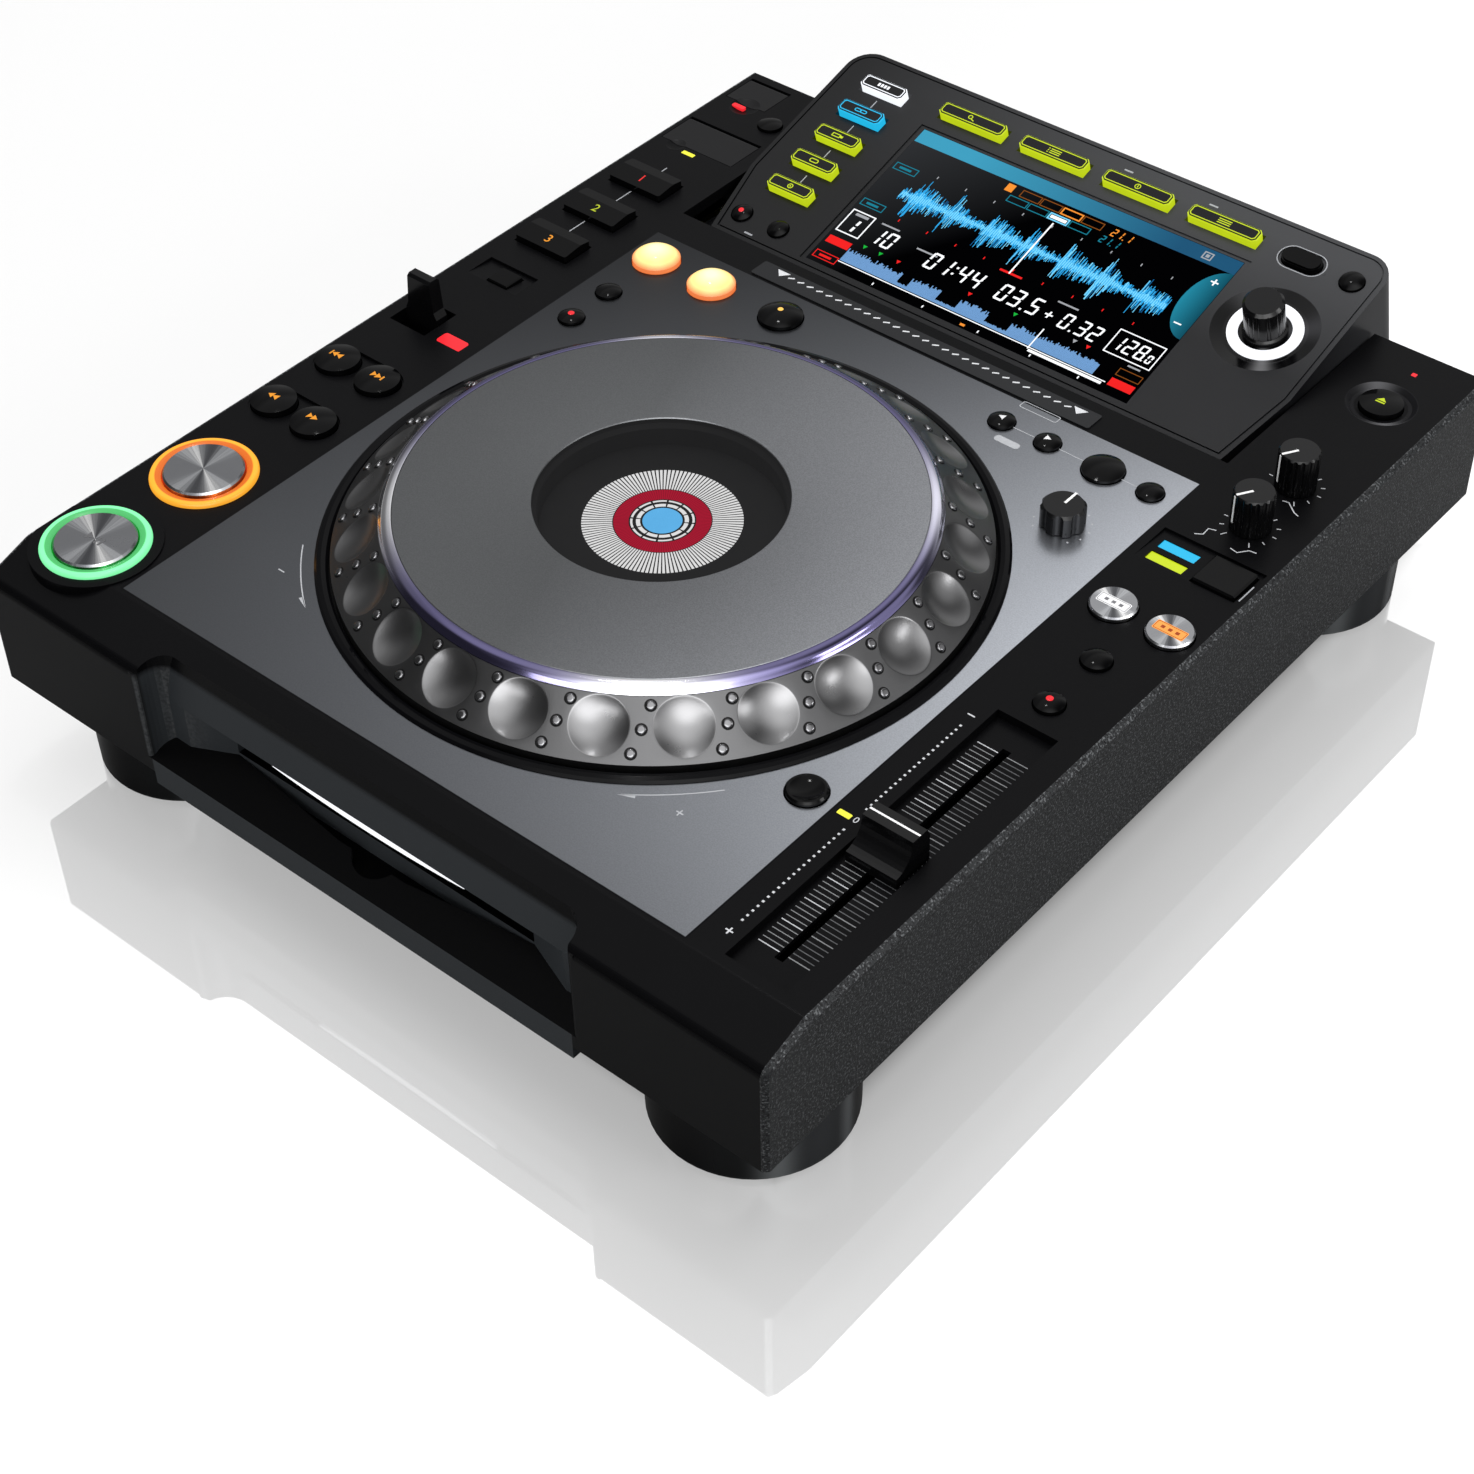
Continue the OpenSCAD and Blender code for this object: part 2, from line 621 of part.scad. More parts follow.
// Holes, pockets and recesses of the deck
module deck_cuts() {
    // Seat of the metal panel
    box([-panel_x, y0 + panel_front, deck_z - panel_t], [panel_x, y0 + panel_back, deck_z + 1]);
    translate([0, post_y, deck_z + well_floor]) cylinder(r = bezel_r, h = 5, $fn = 128);
    for (b = round_buttons)
        on_deck(b[1], -deck_t - 1) cylinder(r = b[2] + gap, h = deck_t + 2);
    for (at = [play_at, cue_at]) {
        on_deck(at, -deck_t - 1) cylinder(r = ring_r, h = deck_t + 4);
        // Room under the sloping lip for the rim of the button
        on_deck(at, -deck_t - keep_t - travel - 3) cylinder(r = disc_r + keep_w + 1, h = keep_t + travel + 3);
    }
    // Search pairs lie in a pocket that deepens backwards
    for (y = [search_back_at[1], track_back_at[1]])
        intersection() {
            translate([(search_back_at[0] + search_forward_at[0]) / 2, y, deck_z])
                sloped_pocket(search_pitch + 2 * search_r + 2, 2 * search_r + 2, 1.2);
            translate([(search_back_at[0] + search_forward_at[0]) / 2, y, deck_z])
                stadium(search_pitch + 2 * search_r + 1.8, 2 * search_r + 1.8, -3, 3);
        }
    // Direction lever
    translate([lever_at[0] - lever_slot_w / 2, lever_at[1] - lever_slot_front, under_z - 1])
        cube([lever_slot_w, lever_slot_front + lever_slot_back, deck_t + 2]);
    // Rec/call key in its pocket
    on_deck([rec_at[0] - 1.8, rec_at[1] + 1]) sloped_pocket(rec_recess_w, rec_recess_l, 1.2);
    on_deck(rec_at, -deck_t - 1)
        translate([-rec_w / 2 - gap, -rec_l / 2 - gap, 0]) cube([rec_w + 2 * gap, rec_l + 2 * gap, deck_t + 2]);
    for (at = pad_at)
        on_deck(at, -deck_t - 1)
            translate([-pad_w / 2 - gap, -pad_l / 2 - gap, 0]) cube([pad_w + 2 * gap, pad_l + 2 * gap, deck_t + 2]);
    door_cuts(usb_at, usb_w, usb_l);
    door_cuts(sd_at, sd_w, sd_l);
    usb_scoop();
    sd_scoop();
    on_deck(adjust_at, -deck_t - 1) cylinder(r = shaft_r + fit, h = deck_t + 2);
    for (at = [brake_at, start_at])
        on_deck(at, -deck_t - 1) cylinder(r = shaft_r + fit, h = deck_t + 2);
    on_deck(reset_at, -deck_t - 1) cylinder(r = reset_r + gap, h = deck_t + 2);
    on_deck(eject_at, -deck_t - 1) cylinder(r = eject_r + gap, h = deck_t + 2);
    on_deck(eject_at, -1.4) rotate_extrude() polygon([[0, 0], [10.2, 0], [11.8, 1.4], [11.8, 3], [0, 3]]);
    for (at = [sync_at, master_at])
        on_deck(at, -deck_t - 1) cylinder(r = sync_r + gap, h = deck_t + 2);
    // Jog mode key and windows
    on_deck(mode_recess_at) sloped_pocket(mode_recess_w, mode_recess_l, 1);
    on_deck(mode_at, -deck_t - 1)
        translate([-mode_w / 2 - gap, -mode_l / 2 - gap, 0])
            cube([mode_w + 2 * gap, mode_l + 2 * gap, deck_t + 2]);
    for (at = [vinyl_window_at, disc_window_at]) window(at, window_w, window_l, 2.4);
    window(reverse_at, reverse_w, reverse_l, 1);
    for (at = [usb_lamp_at, sd_lamp_at]) window(at, lamp_w, lamp_l, 1);
    window(standby_at, standby_w, standby_w, 1);
    window(zero_lamp_at, zero_w, lamp_l, 1);
    // Tempo slider
    translate([slider_at[0] - slider_recess_w / 2, y0 + slider_low, deck_z - slider_deep])
        cube([slider_recess_w, slider_high - slider_low, slider_deep + 1]);
    translate([slider_at[0] - slider_slot_w / 2, slider_at[1] - slider_travel - 3.4, under_z - 1])
        cube([slider_slot_w, 2 * slider_travel + 6.8, deck_t + 2]);
    // Well of the screen unit
    box([-unit_x - 0.7, y0 + unit_front - well_front, under_z - 1], [unit_x + 0.7, y0 + body_d + 1, deck_z + 1]);
}

well_front = 7.4;
tray_l = 32;
window_w = 13.6;
window_l = 4.6;
reverse_w = 11;
reverse_l = 5.6;
lamp_w = 5.6;
lamp_l = 2;
standby_w = 1.8;
zero_w = 4.6;

// Pocket of a lit window, h deep
module window(at, w, l, h) {
    translate([at[0] - w / 2, at[1] - l / 2, deck_z - h]) cube([w, l, h + 1]);
}

// Opening of a door with the seats of its hinge pin; the place is the middle of the rear edge
module door_cuts(at, w, l) {
    translate([at[0] - w / 2 - joint_gap, at[1] - l - joint_gap, under_z - 1])
        cube([w + 2 * joint_gap, l + 2 * joint_gap, deck_t + 2]);
    translate([at[0] - w / 2 - pin_l - joint_gap, at[1] - barrel_r, deck_z - barrel_r])
        rotate([0, 90, 0]) cylinder(r = pin_r + fit, h = w + 2 * pin_l + 2 * joint_gap);
}

pin_r = 0.8;
pin_l = 0.9;

module usb_scoop() {
    on_deck([usb_at[0] + 1, usb_at[1] - usb_l - 1.6], 14.2) sphere(r = 15.4);
}

module sd_scoop() {
    on_deck([sd_at[0] - 9, sd_at[1] - sd_l - 1], 8.4) sphere(r = 9.2);
}

// Moulded well under a door, open at the top
module door_well(at, w, l) {
    t = 1.2;
    translate([at[0], at[1] - l / 2, under_z - well_deep + deck_t])
        difference() {
            translate([-w / 2 - joint_gap - t, -l / 2 - joint_gap - t, 0])
                cube([w + 2 * joint_gap + 2 * t, l + 2 * joint_gap + 2 * t, well_deep - deck_t]);
            translate([-w / 2 - joint_gap, -l / 2 - joint_gap, t])
                cube([w + 2 * joint_gap, l + 2 * joint_gap, well_deep]);
        }
}

// Ears that carry the lever's pin under the deck
module lever_ears() {
    for (s = [-1, 1])
        translate([lever_at[0] + s * (lever_slot_w / 2 + 0.9), lever_at[1], deck_z - lever_pivot])
            rotate([0, 90, 0])
                difference() {
                    union() {
                        cylinder(r = 4, h = 1.8, center = true);
                        translate([-lever_pivot + deck_t, -4, -0.9]) cube([lever_pivot - deck_t, 8, 1.8]);
                    }
                    cylinder(r = lever_pin_r + fit, h = 4, center = true);
                }
}

lever_pin_r = 1.5;

module top_deck() {
    color("#17181a") difference() {
        union() {
            // Deck plate and lip
            difference() {
                across(-deck_x, deck_x) polygon(case_profile(0));
                box([-deck_x - 1, y0 + fascia_t, foot_h - 1], [deck_x + 1, y0 + body_d + 1, under_z - lip_drop]);
                across(-deck_x - 1, deck_x + 1)
                    polygon([[fascia_t, 0], [fascia_t, body_h - lip_drop - deck_t], [lip_run, body_h - deck_t],
                        [body_d + 1, body_h - deck_t], [body_d + 1, 0]]);
            }
            // Block around the disc slot, with the hanging lower lip
            box([-block_x, y0, foot_h], [block_x, y0 + block_d, foot_h + body_h - lip_drop - 1]);
            box([-recess_w / 2, y0, foot_h - lip_hang], [recess_w / 2, y0 + block_d, foot_h + 1]);
            // Boss around play, proud of the sloping lip
            intersection() {
                on_deck(play_at, -deck_t) cylinder(r = boss_r, h = deck_t + boss_h);
                across(-deck_x, 0) square([body_d, body_h + boss_h]);
            }
            translate([0, post_y, deck_z + well_floor - eps])
                cylinder(r = post_r, h = label_h - label_t - well_floor + eps, $fn = 128);
            door_well(usb_at, usb_w, usb_l);
            door_well(sd_at, sd_w, sd_l);
            lever_ears();
        }
        translate([0, post_y, deck_z + well_floor]) cylinder(r = post_r - post_wall, h = label_h - well_floor, $fn = 128);
        slot_recess();
        slot_throat();
        difference() {
            deck_cuts();
            translate([0, post_y, deck_z - deck_t]) cylinder(r = post_r, h = deck_t + label_h, $fn = 128);
        }
    }
}

module centre_panel() {
    color("#5c6066") difference() {
        box([-panel_x, y0 + panel_front, deck_z - panel_t], [panel_x, y0 + panel_back, deck_z]);
        translate([0, post_y, deck_z - overshoot]) cylinder(r = bezel_r, h = 2 * overshoot, $fn = 128);
        for (b = round_buttons)
            if (abs(b[1][0]) < panel_x) on_deck(b[1], -overshoot) cylinder(r = b[2] + gap, h = 2 * overshoot);
        on_deck(reset_at, -overshoot) cylinder(r = reset_r + gap, h = 2 * overshoot);
        on_deck(adjust_at, -overshoot) cylinder(r = shaft_r + fit, h = 2 * overshoot);
    }
}

module jog_bezel() {
    mid_r = (bezel_r + bezel_in) / 2;
    color("#0c0c0d") translate([0, post_y, deck_z])
        rotate_extrude($fn = 128)
            polygon([[bezel_in, well_floor], [bezel_r, well_floor], [bezel_r, 0.3], [bezel_r - 0.8, 1],
                [mid_r, bezel_h], [bezel_in + 0.8, 1], [bezel_in, 0.2]]);
}

module jog_wheel() {
    hub_r = post_r + post_fit;
    inner_slope = (cone_top - skirt_top) / (skirt_r - cone_r);
    under = cone_top - 4.6;
    color("#4a4c50") translate([0, post_y, deck_z])
        difference() {
            union() {
                rotate_extrude($fn = 128)
                    polygon([
                        [hub_r, well_floor + joint_gap], [hub_r + hub_t, well_floor + joint_gap],
                        [hub_r + hub_t, top_h - 4.2], [top_r - 3, top_h - 4.2],
                        [cone_r - 2, under], [skirt_in, under - inner_slope * (skirt_in - cone_r + 2)],
                        [skirt_in + 1, skirt_low], [skirt_r, skirt_low], [skirt_r, skirt_top],
                        [cone_r, cone_top], [rim_r + 0.3, cone_top + 0.2], [rim_r, rim_h], [rim_r - 0.8, rim_h + 0.8],
                        [top_r, top_h], [window_r, top_h], [window_r, top_h - 2.2], [hub_r, top_h - 3.6]
                    ]);
                for (i = [0 : dimples - 1], k = [-1, 0, 1])
                    rotate([0, 0, (i + 0.5) * 360 / dimples])
                        translate([dimple_at + k * stud_pitch, 0, cone_height(dimple_at + k * stud_pitch)])
                            rotate([0, cone_angle, 0]) turned(stud_r, -1, stud_h, 0.4);
            }
            for (i = [0 : dimples - 1])
                rotate([0, 0, i * 360 / dimples])
                    translate([dimple_at, 0, cone_height(dimple_at)])
                        rotate([0, cone_angle, 0])
                            translate([0, 0, dimple_ball - dimple_d]) sphere(r = dimple_ball);
        }
}

// Height of the cone at a radius, and its slope angle
function cone_height(r) = skirt_top + (skirt_r - r) * (cone_top - skirt_top) / (skirt_r - cone_r);
cone_angle = atan((cone_top - skirt_top) / (skirt_r - cone_r));
dimple_ball = (dimple_r * dimple_r + dimple_d * dimple_d) / (2 * dimple_d);
stud_pitch = 5.2;
stud_h = 0.8;

/* ---- deck controls ---- */

module ring_button(at) {
    on_deck(at) {
        turned(disc_r, -deck_t - joint_gap - eps, 2.4, 0.6);
        keeper(disc_r, deck_t);
    }
}

module play_button() {
    color("#c9cbce") ring_button(play_at);
}

module cue_button() {
    color("#c9cbce") ring_button(cue_at);
}

module track_search_back() {
    color("#0d0d0e") dome_button(button("track_search_back"));
}

module track_search_forward() {
    color("#0d0d0e") dome_button(button("track_search_forward"));
}

module search_back() {
    color("#0d0d0e") dome_button(button("search_back"));
}

module search_forward() {
    color("#0d0d0e") dome_button(button("search_forward"));
}

module direction_lever() {
    h = lever_h;
    t = lever_t / 2;
    low = -lever_pivot - 2.4;
    color("#101012") translate([lever_at[0], lever_at[1], deck_z]) {
        intersection() {
            // Side outline: a foot that flares below a straight blade
            translate([-lever_w / 2, 0, 0])
                rotate([90, 0, 90])
                    linear_extrude(lever_w)
                        polygon([[-t, low], [t, low], [t, h - 1], [t - 1, h], [1 - t, h], [-t, h - 1]]);
            translate([0, 10, 0])
                rotate([90, 0, 0])
                    linear_extrude(20)
                        polygon([[-lever_w / 2, low], [lever_w / 2, low], [lever_w / 2, 1.5],
                            [lever_w / 2 - lever_foot, 4], [lever_w / 2 - lever_foot - 1, h],
                            [lever_foot + 1 - lever_w / 2, h], [lever_foot - lever_w / 2, 4], [-lever_w / 2, 1.5]]);
        }
        translate([0, 0, -lever_pivot])
            rotate([0, 90, 0])
                cylinder(r = lever_pin_r, h = lever_slot_w + 2.6, center = true);
    }
}

module block_button(at, w, l, rise, cut, bevel) {
    on_deck(at) {
        cut_block(w, l, -deck_t - joint_gap - eps, rise, cut, bevel);
        block_keeper(w, l, deck_t);
    }
}

module rec_call_button() {
    color("#101012") block_button(rec_at, rec_w, rec_l, 0.8, 0.4, 0.4);
}

// A pad whose top falls away from a ridge to both long sides
module hot_cue(i) {
    color("#0b0b0c") on_deck(pad_at[i]) {
        intersection() {
            cut_block(pad_w, pad_l, -deck_t - joint_gap - eps, 4, 0.6, 0.8);
            translate([-pad_w / 2 - 1, 0, 0])
                rotate([90, 0, 90])
                    linear_extrude(pad_w + 2)
                        polygon([[-pad_l, -20], [pad_l, -20], [pad_l, 1.6], [pad_l / 8, 3.4], [-pad_l / 2, 2.4],
                            [-pad_l, 1.4]]);
        }
        block_keeper(pad_w, pad_l, deck_t);
    }
}

module hot_cue_1() {
    hot_cue(0);
}

module hot_cue_2() {
    hot_cue(1);
}

module hot_cue_3() {
    hot_cue(2);
}

module usb_stop_button() {
    color("#0d0d0e") dome_button(button("usb_stop_button"));
}

// Flap with a hinge barrel along its rear edge
module door(at, w, l) {
    translate([at[0], at[1] - barrel_r, deck_z - barrel_r]) {
        rotate([0, 90, 0]) cylinder(r = barrel_r, h = w, center = true);
        rotate([0, 90, 0]) cylinder(r = pin_r, h = w + 2 * pin_l, center = true);
        translate([-w / 2, barrel_r - l, barrel_r - door_t]) cube([w, l - barrel_r, door_t]);
    }
}

module usb_door() {
    color("#1b1c1e") difference() {
        door(usb_at, usb_w, usb_l);
        usb_scoop();
    }
}

module sd_door() {
    color("#1b1c1e") difference() {
        door(sd_at, sd_w, sd_l);
        sd_scoop();
    }
}

module loop_in_button() {
    color("#ffe9a0") dome_button(button("loop_in_button"));
}

module loop_out_button() {
    color("#ffe9a0") dome_button(button("loop_out_button"));
}

module reloop_button() {
    color("#0d0d0e") dome_button(button("reloop_button"));
}

module loop_mode_button() {
    color("#0d0d0e") dome_button(button("loop_mode_button"));
}

module slip_button() {
    color("#0d0d0e") dome_button(button("slip_button"));
}

module call_back_button() {
    color("#0d0d0e") dome_button(button("call_back_button"));
}

module call_forward_button() {
    color("#0d0d0e") dome_button(button("call_forward_button"));
}

module delete_button() {
    color("#0d0d0e") dome_button(button("delete_button"));
}

module memory_button() {
    color("#0d0d0e") dome_button(button("memory_button"));
}

// Shaft of a knob through a plate of thickness t, with the collar that keeps it in
module knob_shaft(t) {
    translate([0, 0, -t - joint_gap - eps]) cylinder(r = shaft_r, h = t + 2 * joint_gap + 2 * eps);
    translate([0, 0, -t - joint_gap - 1.5]) cylinder(r = shaft_r + 1.4, h = 1.5);
}

// A knob with grooves around its side
module fluted(r, h, edge, flutes, flute_r, sink) {
    difference() {
        turned(r, joint_gap, h, edge);
        for (i = [0 : flutes - 1])
            rotate([0, 0, (i + 0.5) * 360 / flutes])
                translate([r + flute_r - sink, 0, joint_gap - 1]) cylinder(r = flute_r, h = h + 2, $fn = 24);
    }
}

module jog_adjust_knob() {
    color("#0d0d0e") on_deck(adjust_at) {
        fluted(adjust_r, adjust_h, 0.9, 8, 2.2, 0.9);
        knob_shaft(deck_t);
    }
}

module vinyl_knob(at) {
    on_deck(at) {
        fluted(knob_r, knob_h, 0.6, 18, 1, 0.4);
        knob_shaft(deck_t);
    }
}

module brake_knob() {
    color("#111113") vinyl_knob(brake_at);
}

module start_knob() {
    color("#111113") vinyl_knob(start_at);
}

module eject_button() {
    color("#0d0d0e") on_deck(eject_at) {
        dome(eject_r, -deck_t - joint_gap - eps, 1.4, 0.8);
        keeper(eject_r, deck_t);
    }
}

module jog_mode_button() {
    color("#0d0d0e") block_button(mode_at, mode_w, mode_l, 1.4, 0.8, 0.6);
}

module beat_button(at) {
    on_deck(at) {
        turned(sync_r, -deck_t - joint_gap - eps, 1.8, 0.5);
        keeper(sync_r, deck_t);
    }
}

module sync_button() {
    color("#c4c6ca") beat_button(sync_at);
}

module master_button() {
    color("#c4c6ca") beat_button(master_at);
}

module tempo_range_button() {
    color("#0d0d0e") dome_button(button("tempo_range_button"));
}

module master_tempo_button() {
    color("#0d0d0e") dome_button(button("master_tempo_button"));
}

module tempo_slider() {
    top = 10;
    flat_front = -4.7;
    flat_back = 1.8;
    toe = -12;
    heel = 3.2;
    low = joint_gap - slider_deep;
    // The front face of the knob is hollow, from the toe up to the flat top
    hollow = [for (i = [0 : 8]) let (a = i * 90 / 8) [toe + (flat_front - toe) * sin(a), 1 + (top - 1) * (1 - cos(a))]];
    color("#111113") translate([slider_at[0], slider_at[1], deck_z]) {
        translate([-slider_w / 2, 0, 0])
            rotate([90, 0, 90])
                linear_extrude(slider_w)
                    polygon(concat([[heel, low], [toe, low]], hollow, [[flat_back, top], [heel, top - 3]]));
        translate([joint_gap - slider_slot_w / 2, -3, -deck_t - joint_gap - eps])
            cube([slider_slot_w - 2 * joint_gap, 6, deck_t + joint_gap + low + 1]);
        translate([-4, -5, -deck_t - joint_gap - 2]) cube([8, 10, 2]);
    }
}

module tempo_reset_button() {
    ball = 14;
    color("#0a0a0b") on_deck(reset_at) {
        difference() {
            turned(reset_r, -deck_t - joint_gap - eps, 1.6, 0.6);
            translate([0, 0, 1.6 + ball - 1]) sphere(r = ball);
        }
        keeper(reset_r, deck_t);
    }
}

/* ---- screen unit ---- */

// Outline of the panel in its own plane, drawn in by d
function panel_outline(d) =
    let (x = unit_x - d, top = unit_l - d, narrow = unit_x - unit_taper - d, knee = 32)
    let (r = max(unit_round - d, 1))
    concat(
        [[-narrow, d], [narrow, d], [x, knee]],
        corner([x, knee], [x, top], [-x, top], r),
        corner([x, top], [-x, top], [-x, knee], r),
        [[-x, knee]]
    );

// The space that the unit takes: the panel's outline carried down square to the panel
module unit_block(d, top) {
    on_panel(0, 0, -unit_deep - 20)
        linear_extrude(unit_deep + 20 + top) polygon(panel_outline(d));
}

module display_housing() {
    wall_y = body_d - case_t;
    floor_z = body_h - unit_sink - 5.85;
    color("#1e1f22") {
        difference() {
            intersection() {
                unit_block(0, 0);
                across(-unit_x - 1, unit_x + 1)
                    polygon([[unit_front - 20, floor_z], [wall_y - gap, floor_z], [wall_y - gap, unit_low],
                        [overall_d + 5, unit_low], [overall_d + 5, 200], [unit_front - 20, 200]]);
            }
            intersection() {
                unit_block(unit_t, -unit_t);
                across(-unit_x - 1, unit_x + 1)
                    polygon([[unit_front - 20, floor_z - 1], [wall_y - gap - unit_t, floor_z - 1],
                        [wall_y - gap - unit_t, floor_z + unit_t], [wall_y + unit_t, floor_z + unit_t],
                        [wall_y + unit_t, unit_low + unit_t], [overall_d + 5, unit_low + unit_t],
                        [overall_d + 5, 200], [unit_front - 20, 200]]);
            }
            // Seam around the panel
            on_panel(0, 0, -0.6)
                linear_extrude(2)
                    difference() {
                        polygon(panel_outline(1.6));
                        polygon(panel_outline(2.2));
                    }
            on_panel(-screen_w / 2, screen_v, -unit_t - 1) cube([screen_w, screen_l, unit_t + 2]);
            on_panel(-screen_w / 2 - 2, screen_v - 1, -0.5) cube([screen_w + 4, screen_l + 2.2, 2]);
            for (v = source_v)
                on_panel(source_x - source_w / 2 - gap, v - key_l / 2 - gap, -unit_t - 1)
                    cube([source_w + 2 * gap, key_l + 2 * gap, unit_t + 2]);
            for (i = [0 : 3])
                on_panel(menu_x(i) - menu_w / 2 - gap, menu_v - key_l / 2 - gap, -unit_t - 1)
                    cube([menu_w + 2 * gap, key_l + 2 * gap, unit_t + 2]);
            on_panel(back_at[0], back_at[1]) stadium(back_w + 2 * gap, back_l + 2 * gap, -unit_t - 1, 1);
            on_panel(back_at[0], back_at[1]) stadium(back_w + 2.6, back_l + 2.6, -0.6, 1);
            on_panel(tag_at[0], tag_at[1], -unit_t - 1) cylinder(r = tag_r + gap, h = unit_t + 2);
            on_panel(quantize_at[0], quantize_at[1], -unit_t - 1) cylinder(r = small_r + gap, h = unit_t + 2);
            on_panel(time_at[0], time_at[1], -unit_t - 1) cylinder(r = small_r + gap, h = unit_t + 2);
            // Dish of the selector
            on_panel(selector_at[0], selector_at[1], -1.2)
                rotate_extrude()
                    polygon([[0, 0], [light_ring_r + 1.4, 0], [dish_r, 1.2], [dish_r, 3], [0, 3]]);
            on_panel(selector_at[0], selector_at[1], -unit_t - 1) cylinder(r = shaft_r + fit, h = unit_t + 2);
        }
        // Tray in front of the unit, with the bar that looks like a hinge
        difference() {
            box([-unit_x - 0.4, y0 + unit_front - well_front + gap, foot_h + floor_z],
                [unit_x + 0.4, y0 + unit_front + tray_l, foot_h + floor_z + 2.4]);
            unit_block(unit_t, -unit_t);
        }
        box([-unit_x - 0.4, y0 + unit_front - well_front + gap, foot_h + floor_z],
            [unit_x + 0.4, y0 + unit_front - well_front + gap + 1.6, under_z - gap]);
        translate([0, y0 + unit_front - well_front + gap + 0.9 + bar_r, foot_h + floor_z + 2.4 + bar_r - 0.6])
            rotate([0, 90, 0]) cylinder(r = bar_r, h = 2 * (unit_x - unit_taper), center = true);
    }
}

function menu_x(i) = menu_mid + (i - 1.5) * menu_pitch;
back_w = 15;
back_l = 7.5;
tag_r = 4.3;
small_r = 3.9;

module screen() {
    color("#0a1420") {
        on_panel(-screen_w / 2, screen_v, -unit_t) cube([screen_w, screen_l, unit_t - 0.5]);
        on_panel(-screen_w / 2 - 3, screen_v - 1, -unit_t - 4) cube([screen_w + 6, screen_l + 4, 4]);
    }
}

module panel_key(u, v, w) {
    on_panel(u, v) {
        cut_block(w, key_l, -unit_t - joint_gap - eps, key_h, 1.4, 0.3);
        block_keeper(w, key_l, unit_t);
    }
}

module source_button_1() {
    color("#f4f6f8") panel_key(source_x, source_v[0], source_w);
}

module source_button_2() {
    color("#22c4e8") panel_key(source_x, source_v[1], source_w);
}

module source_button_3() {
    color("#c8dc2c") panel_key(source_x, source_v[2], source_w);
}

module source_button_4() {
    color("#c8dc2c") panel_key(source_x, source_v[3], source_w);
}

module source_button_5() {
    color("#c8dc2c") panel_key(source_x, source_v[4], source_w);
}

module menu_button_1() {
    color("#c8dc2c") panel_key(menu_x(0), menu_v, menu_w);
}

module menu_button_2() {
    color("#c8dc2c") panel_key(menu_x(1), menu_v, menu_w);
}

module menu_button_3() {
    color("#c8dc2c") panel_key(menu_x(2), menu_v, menu_w);
}

module menu_button_4() {
    color("#c8dc2c") panel_key(menu_x(3), menu_v, menu_w);
}

module back_button() {
    color("#0d0d0e") on_panel(back_at[0], back_at[1]) {
        stadium(back_w, back_l, -unit_t - joint_gap - eps, 1.2);
        stadium(back_w - 1, back_l - 1, 1, 1.8);
        stadium(back_w + 2 * keep_w, back_l + 2 * keep_w, -unit_t - joint_gap - keep_t, -unit_t - joint_gap);
    }
}

module panel_dome(at, r) {
    on_panel(at[0], at[1]) {
        dome(r, -unit_t - joint_gap - eps, 2, 1.2);
        keeper(r, unit_t);
    }
}

module tag_button() {
    color("#0d0d0e") panel_dome(tag_at, tag_r);
}

module quantize_button() {
    color("#0d0d0e") panel_dome(quantize_at, small_r);
}

module time_mode_button() {
    color("#0d0d0e") panel_dome(time_at, small_r);
}

module rotary_selector() {
    sink = 1.2;
    color("#141416") on_panel(selector_at[0], selector_at[1], -sink) {
        difference() {
            rotate_extrude()
                polygon([[0, joint_gap], [selector_r, joint_gap], [selector_r, 2], [selector_r - 0.7, 2.6],
                    [selector_r - 0.7, selector_h + sink - 1.2], [selector_r - 1.7, selector_h + sink - 0.2],
                    [0, selector_h + sink - 0.2]]);
            for (i = [0 : 23])
                rotate([0, 0, i * 15])
                    translate([selector_r + 0.1, 0, 2.6]) cylinder(r = 0.9, h = selector_h + sink, $fn = 24);
        }
        knob_shaft(unit_t - sink);
    }
}

module power_switch() {
    color("#111113") translate([power_at[0], y0 + body_d, foot_h + power_at[1]])
        rotate([-90, 0, 0]) {
            turned(power_r, -case_t - joint_gap - eps, 3.5, 0.6);
            translate([0, 0, -case_t - joint_gap - keep_t]) cylinder(r = power_r + keep_w, h = keep_t);
        }
}

/* ---- feet, lights and inner pieces ---- */

module feet() {
    for (s = [-1, 1], y = [foot_front + foot_r, body_d - foot_rear - foot_r])
        translate([s * foot_x, y0 + y, 0]) {
            color("#141517") rotate_extrude($fn = 96)
                polygon([[0, pad_t - 0.8], [foot_r - 3.4, pad_t - 0.8], [foot_r - 3.4, 0.5], [foot_r - 1, 0.5],
                    [foot_r - 0.3, 1.2], [foot_r, foot_h - 1.4], [foot_r, foot_h - 0.6], [foot_r - 0.6, foot_h],
                    [0, foot_h]]);
            color("#0a0a0a") rotate_extrude($fn = 96)
                polygon([[0, 0], [foot_r - 4.6, 0], [foot_r - 3.9, 0.6], [foot_r - 3.9, pad_t - 0.8],
                    [0, pad_t - 0.8]]);
        }
}

// A ring of light round a disc button, seated in the deck
module light_ring(at, top) {
    on_deck(at)
        rotate_extrude()
            polygon([[disc_r + gap, -deck_t], [ring_r, -deck_t], [ring_r, top - 0.8], [ring_r - 0.9, top],
                [disc_r + gap + 1.2, top - 0.3], [disc_r + gap, top - 1.4]]);
}

module lit_window(at, w, l, h) {
    translate([at[0] - w / 2, at[1] - l / 2, deck_z - h]) cube([w, l, h]);
}

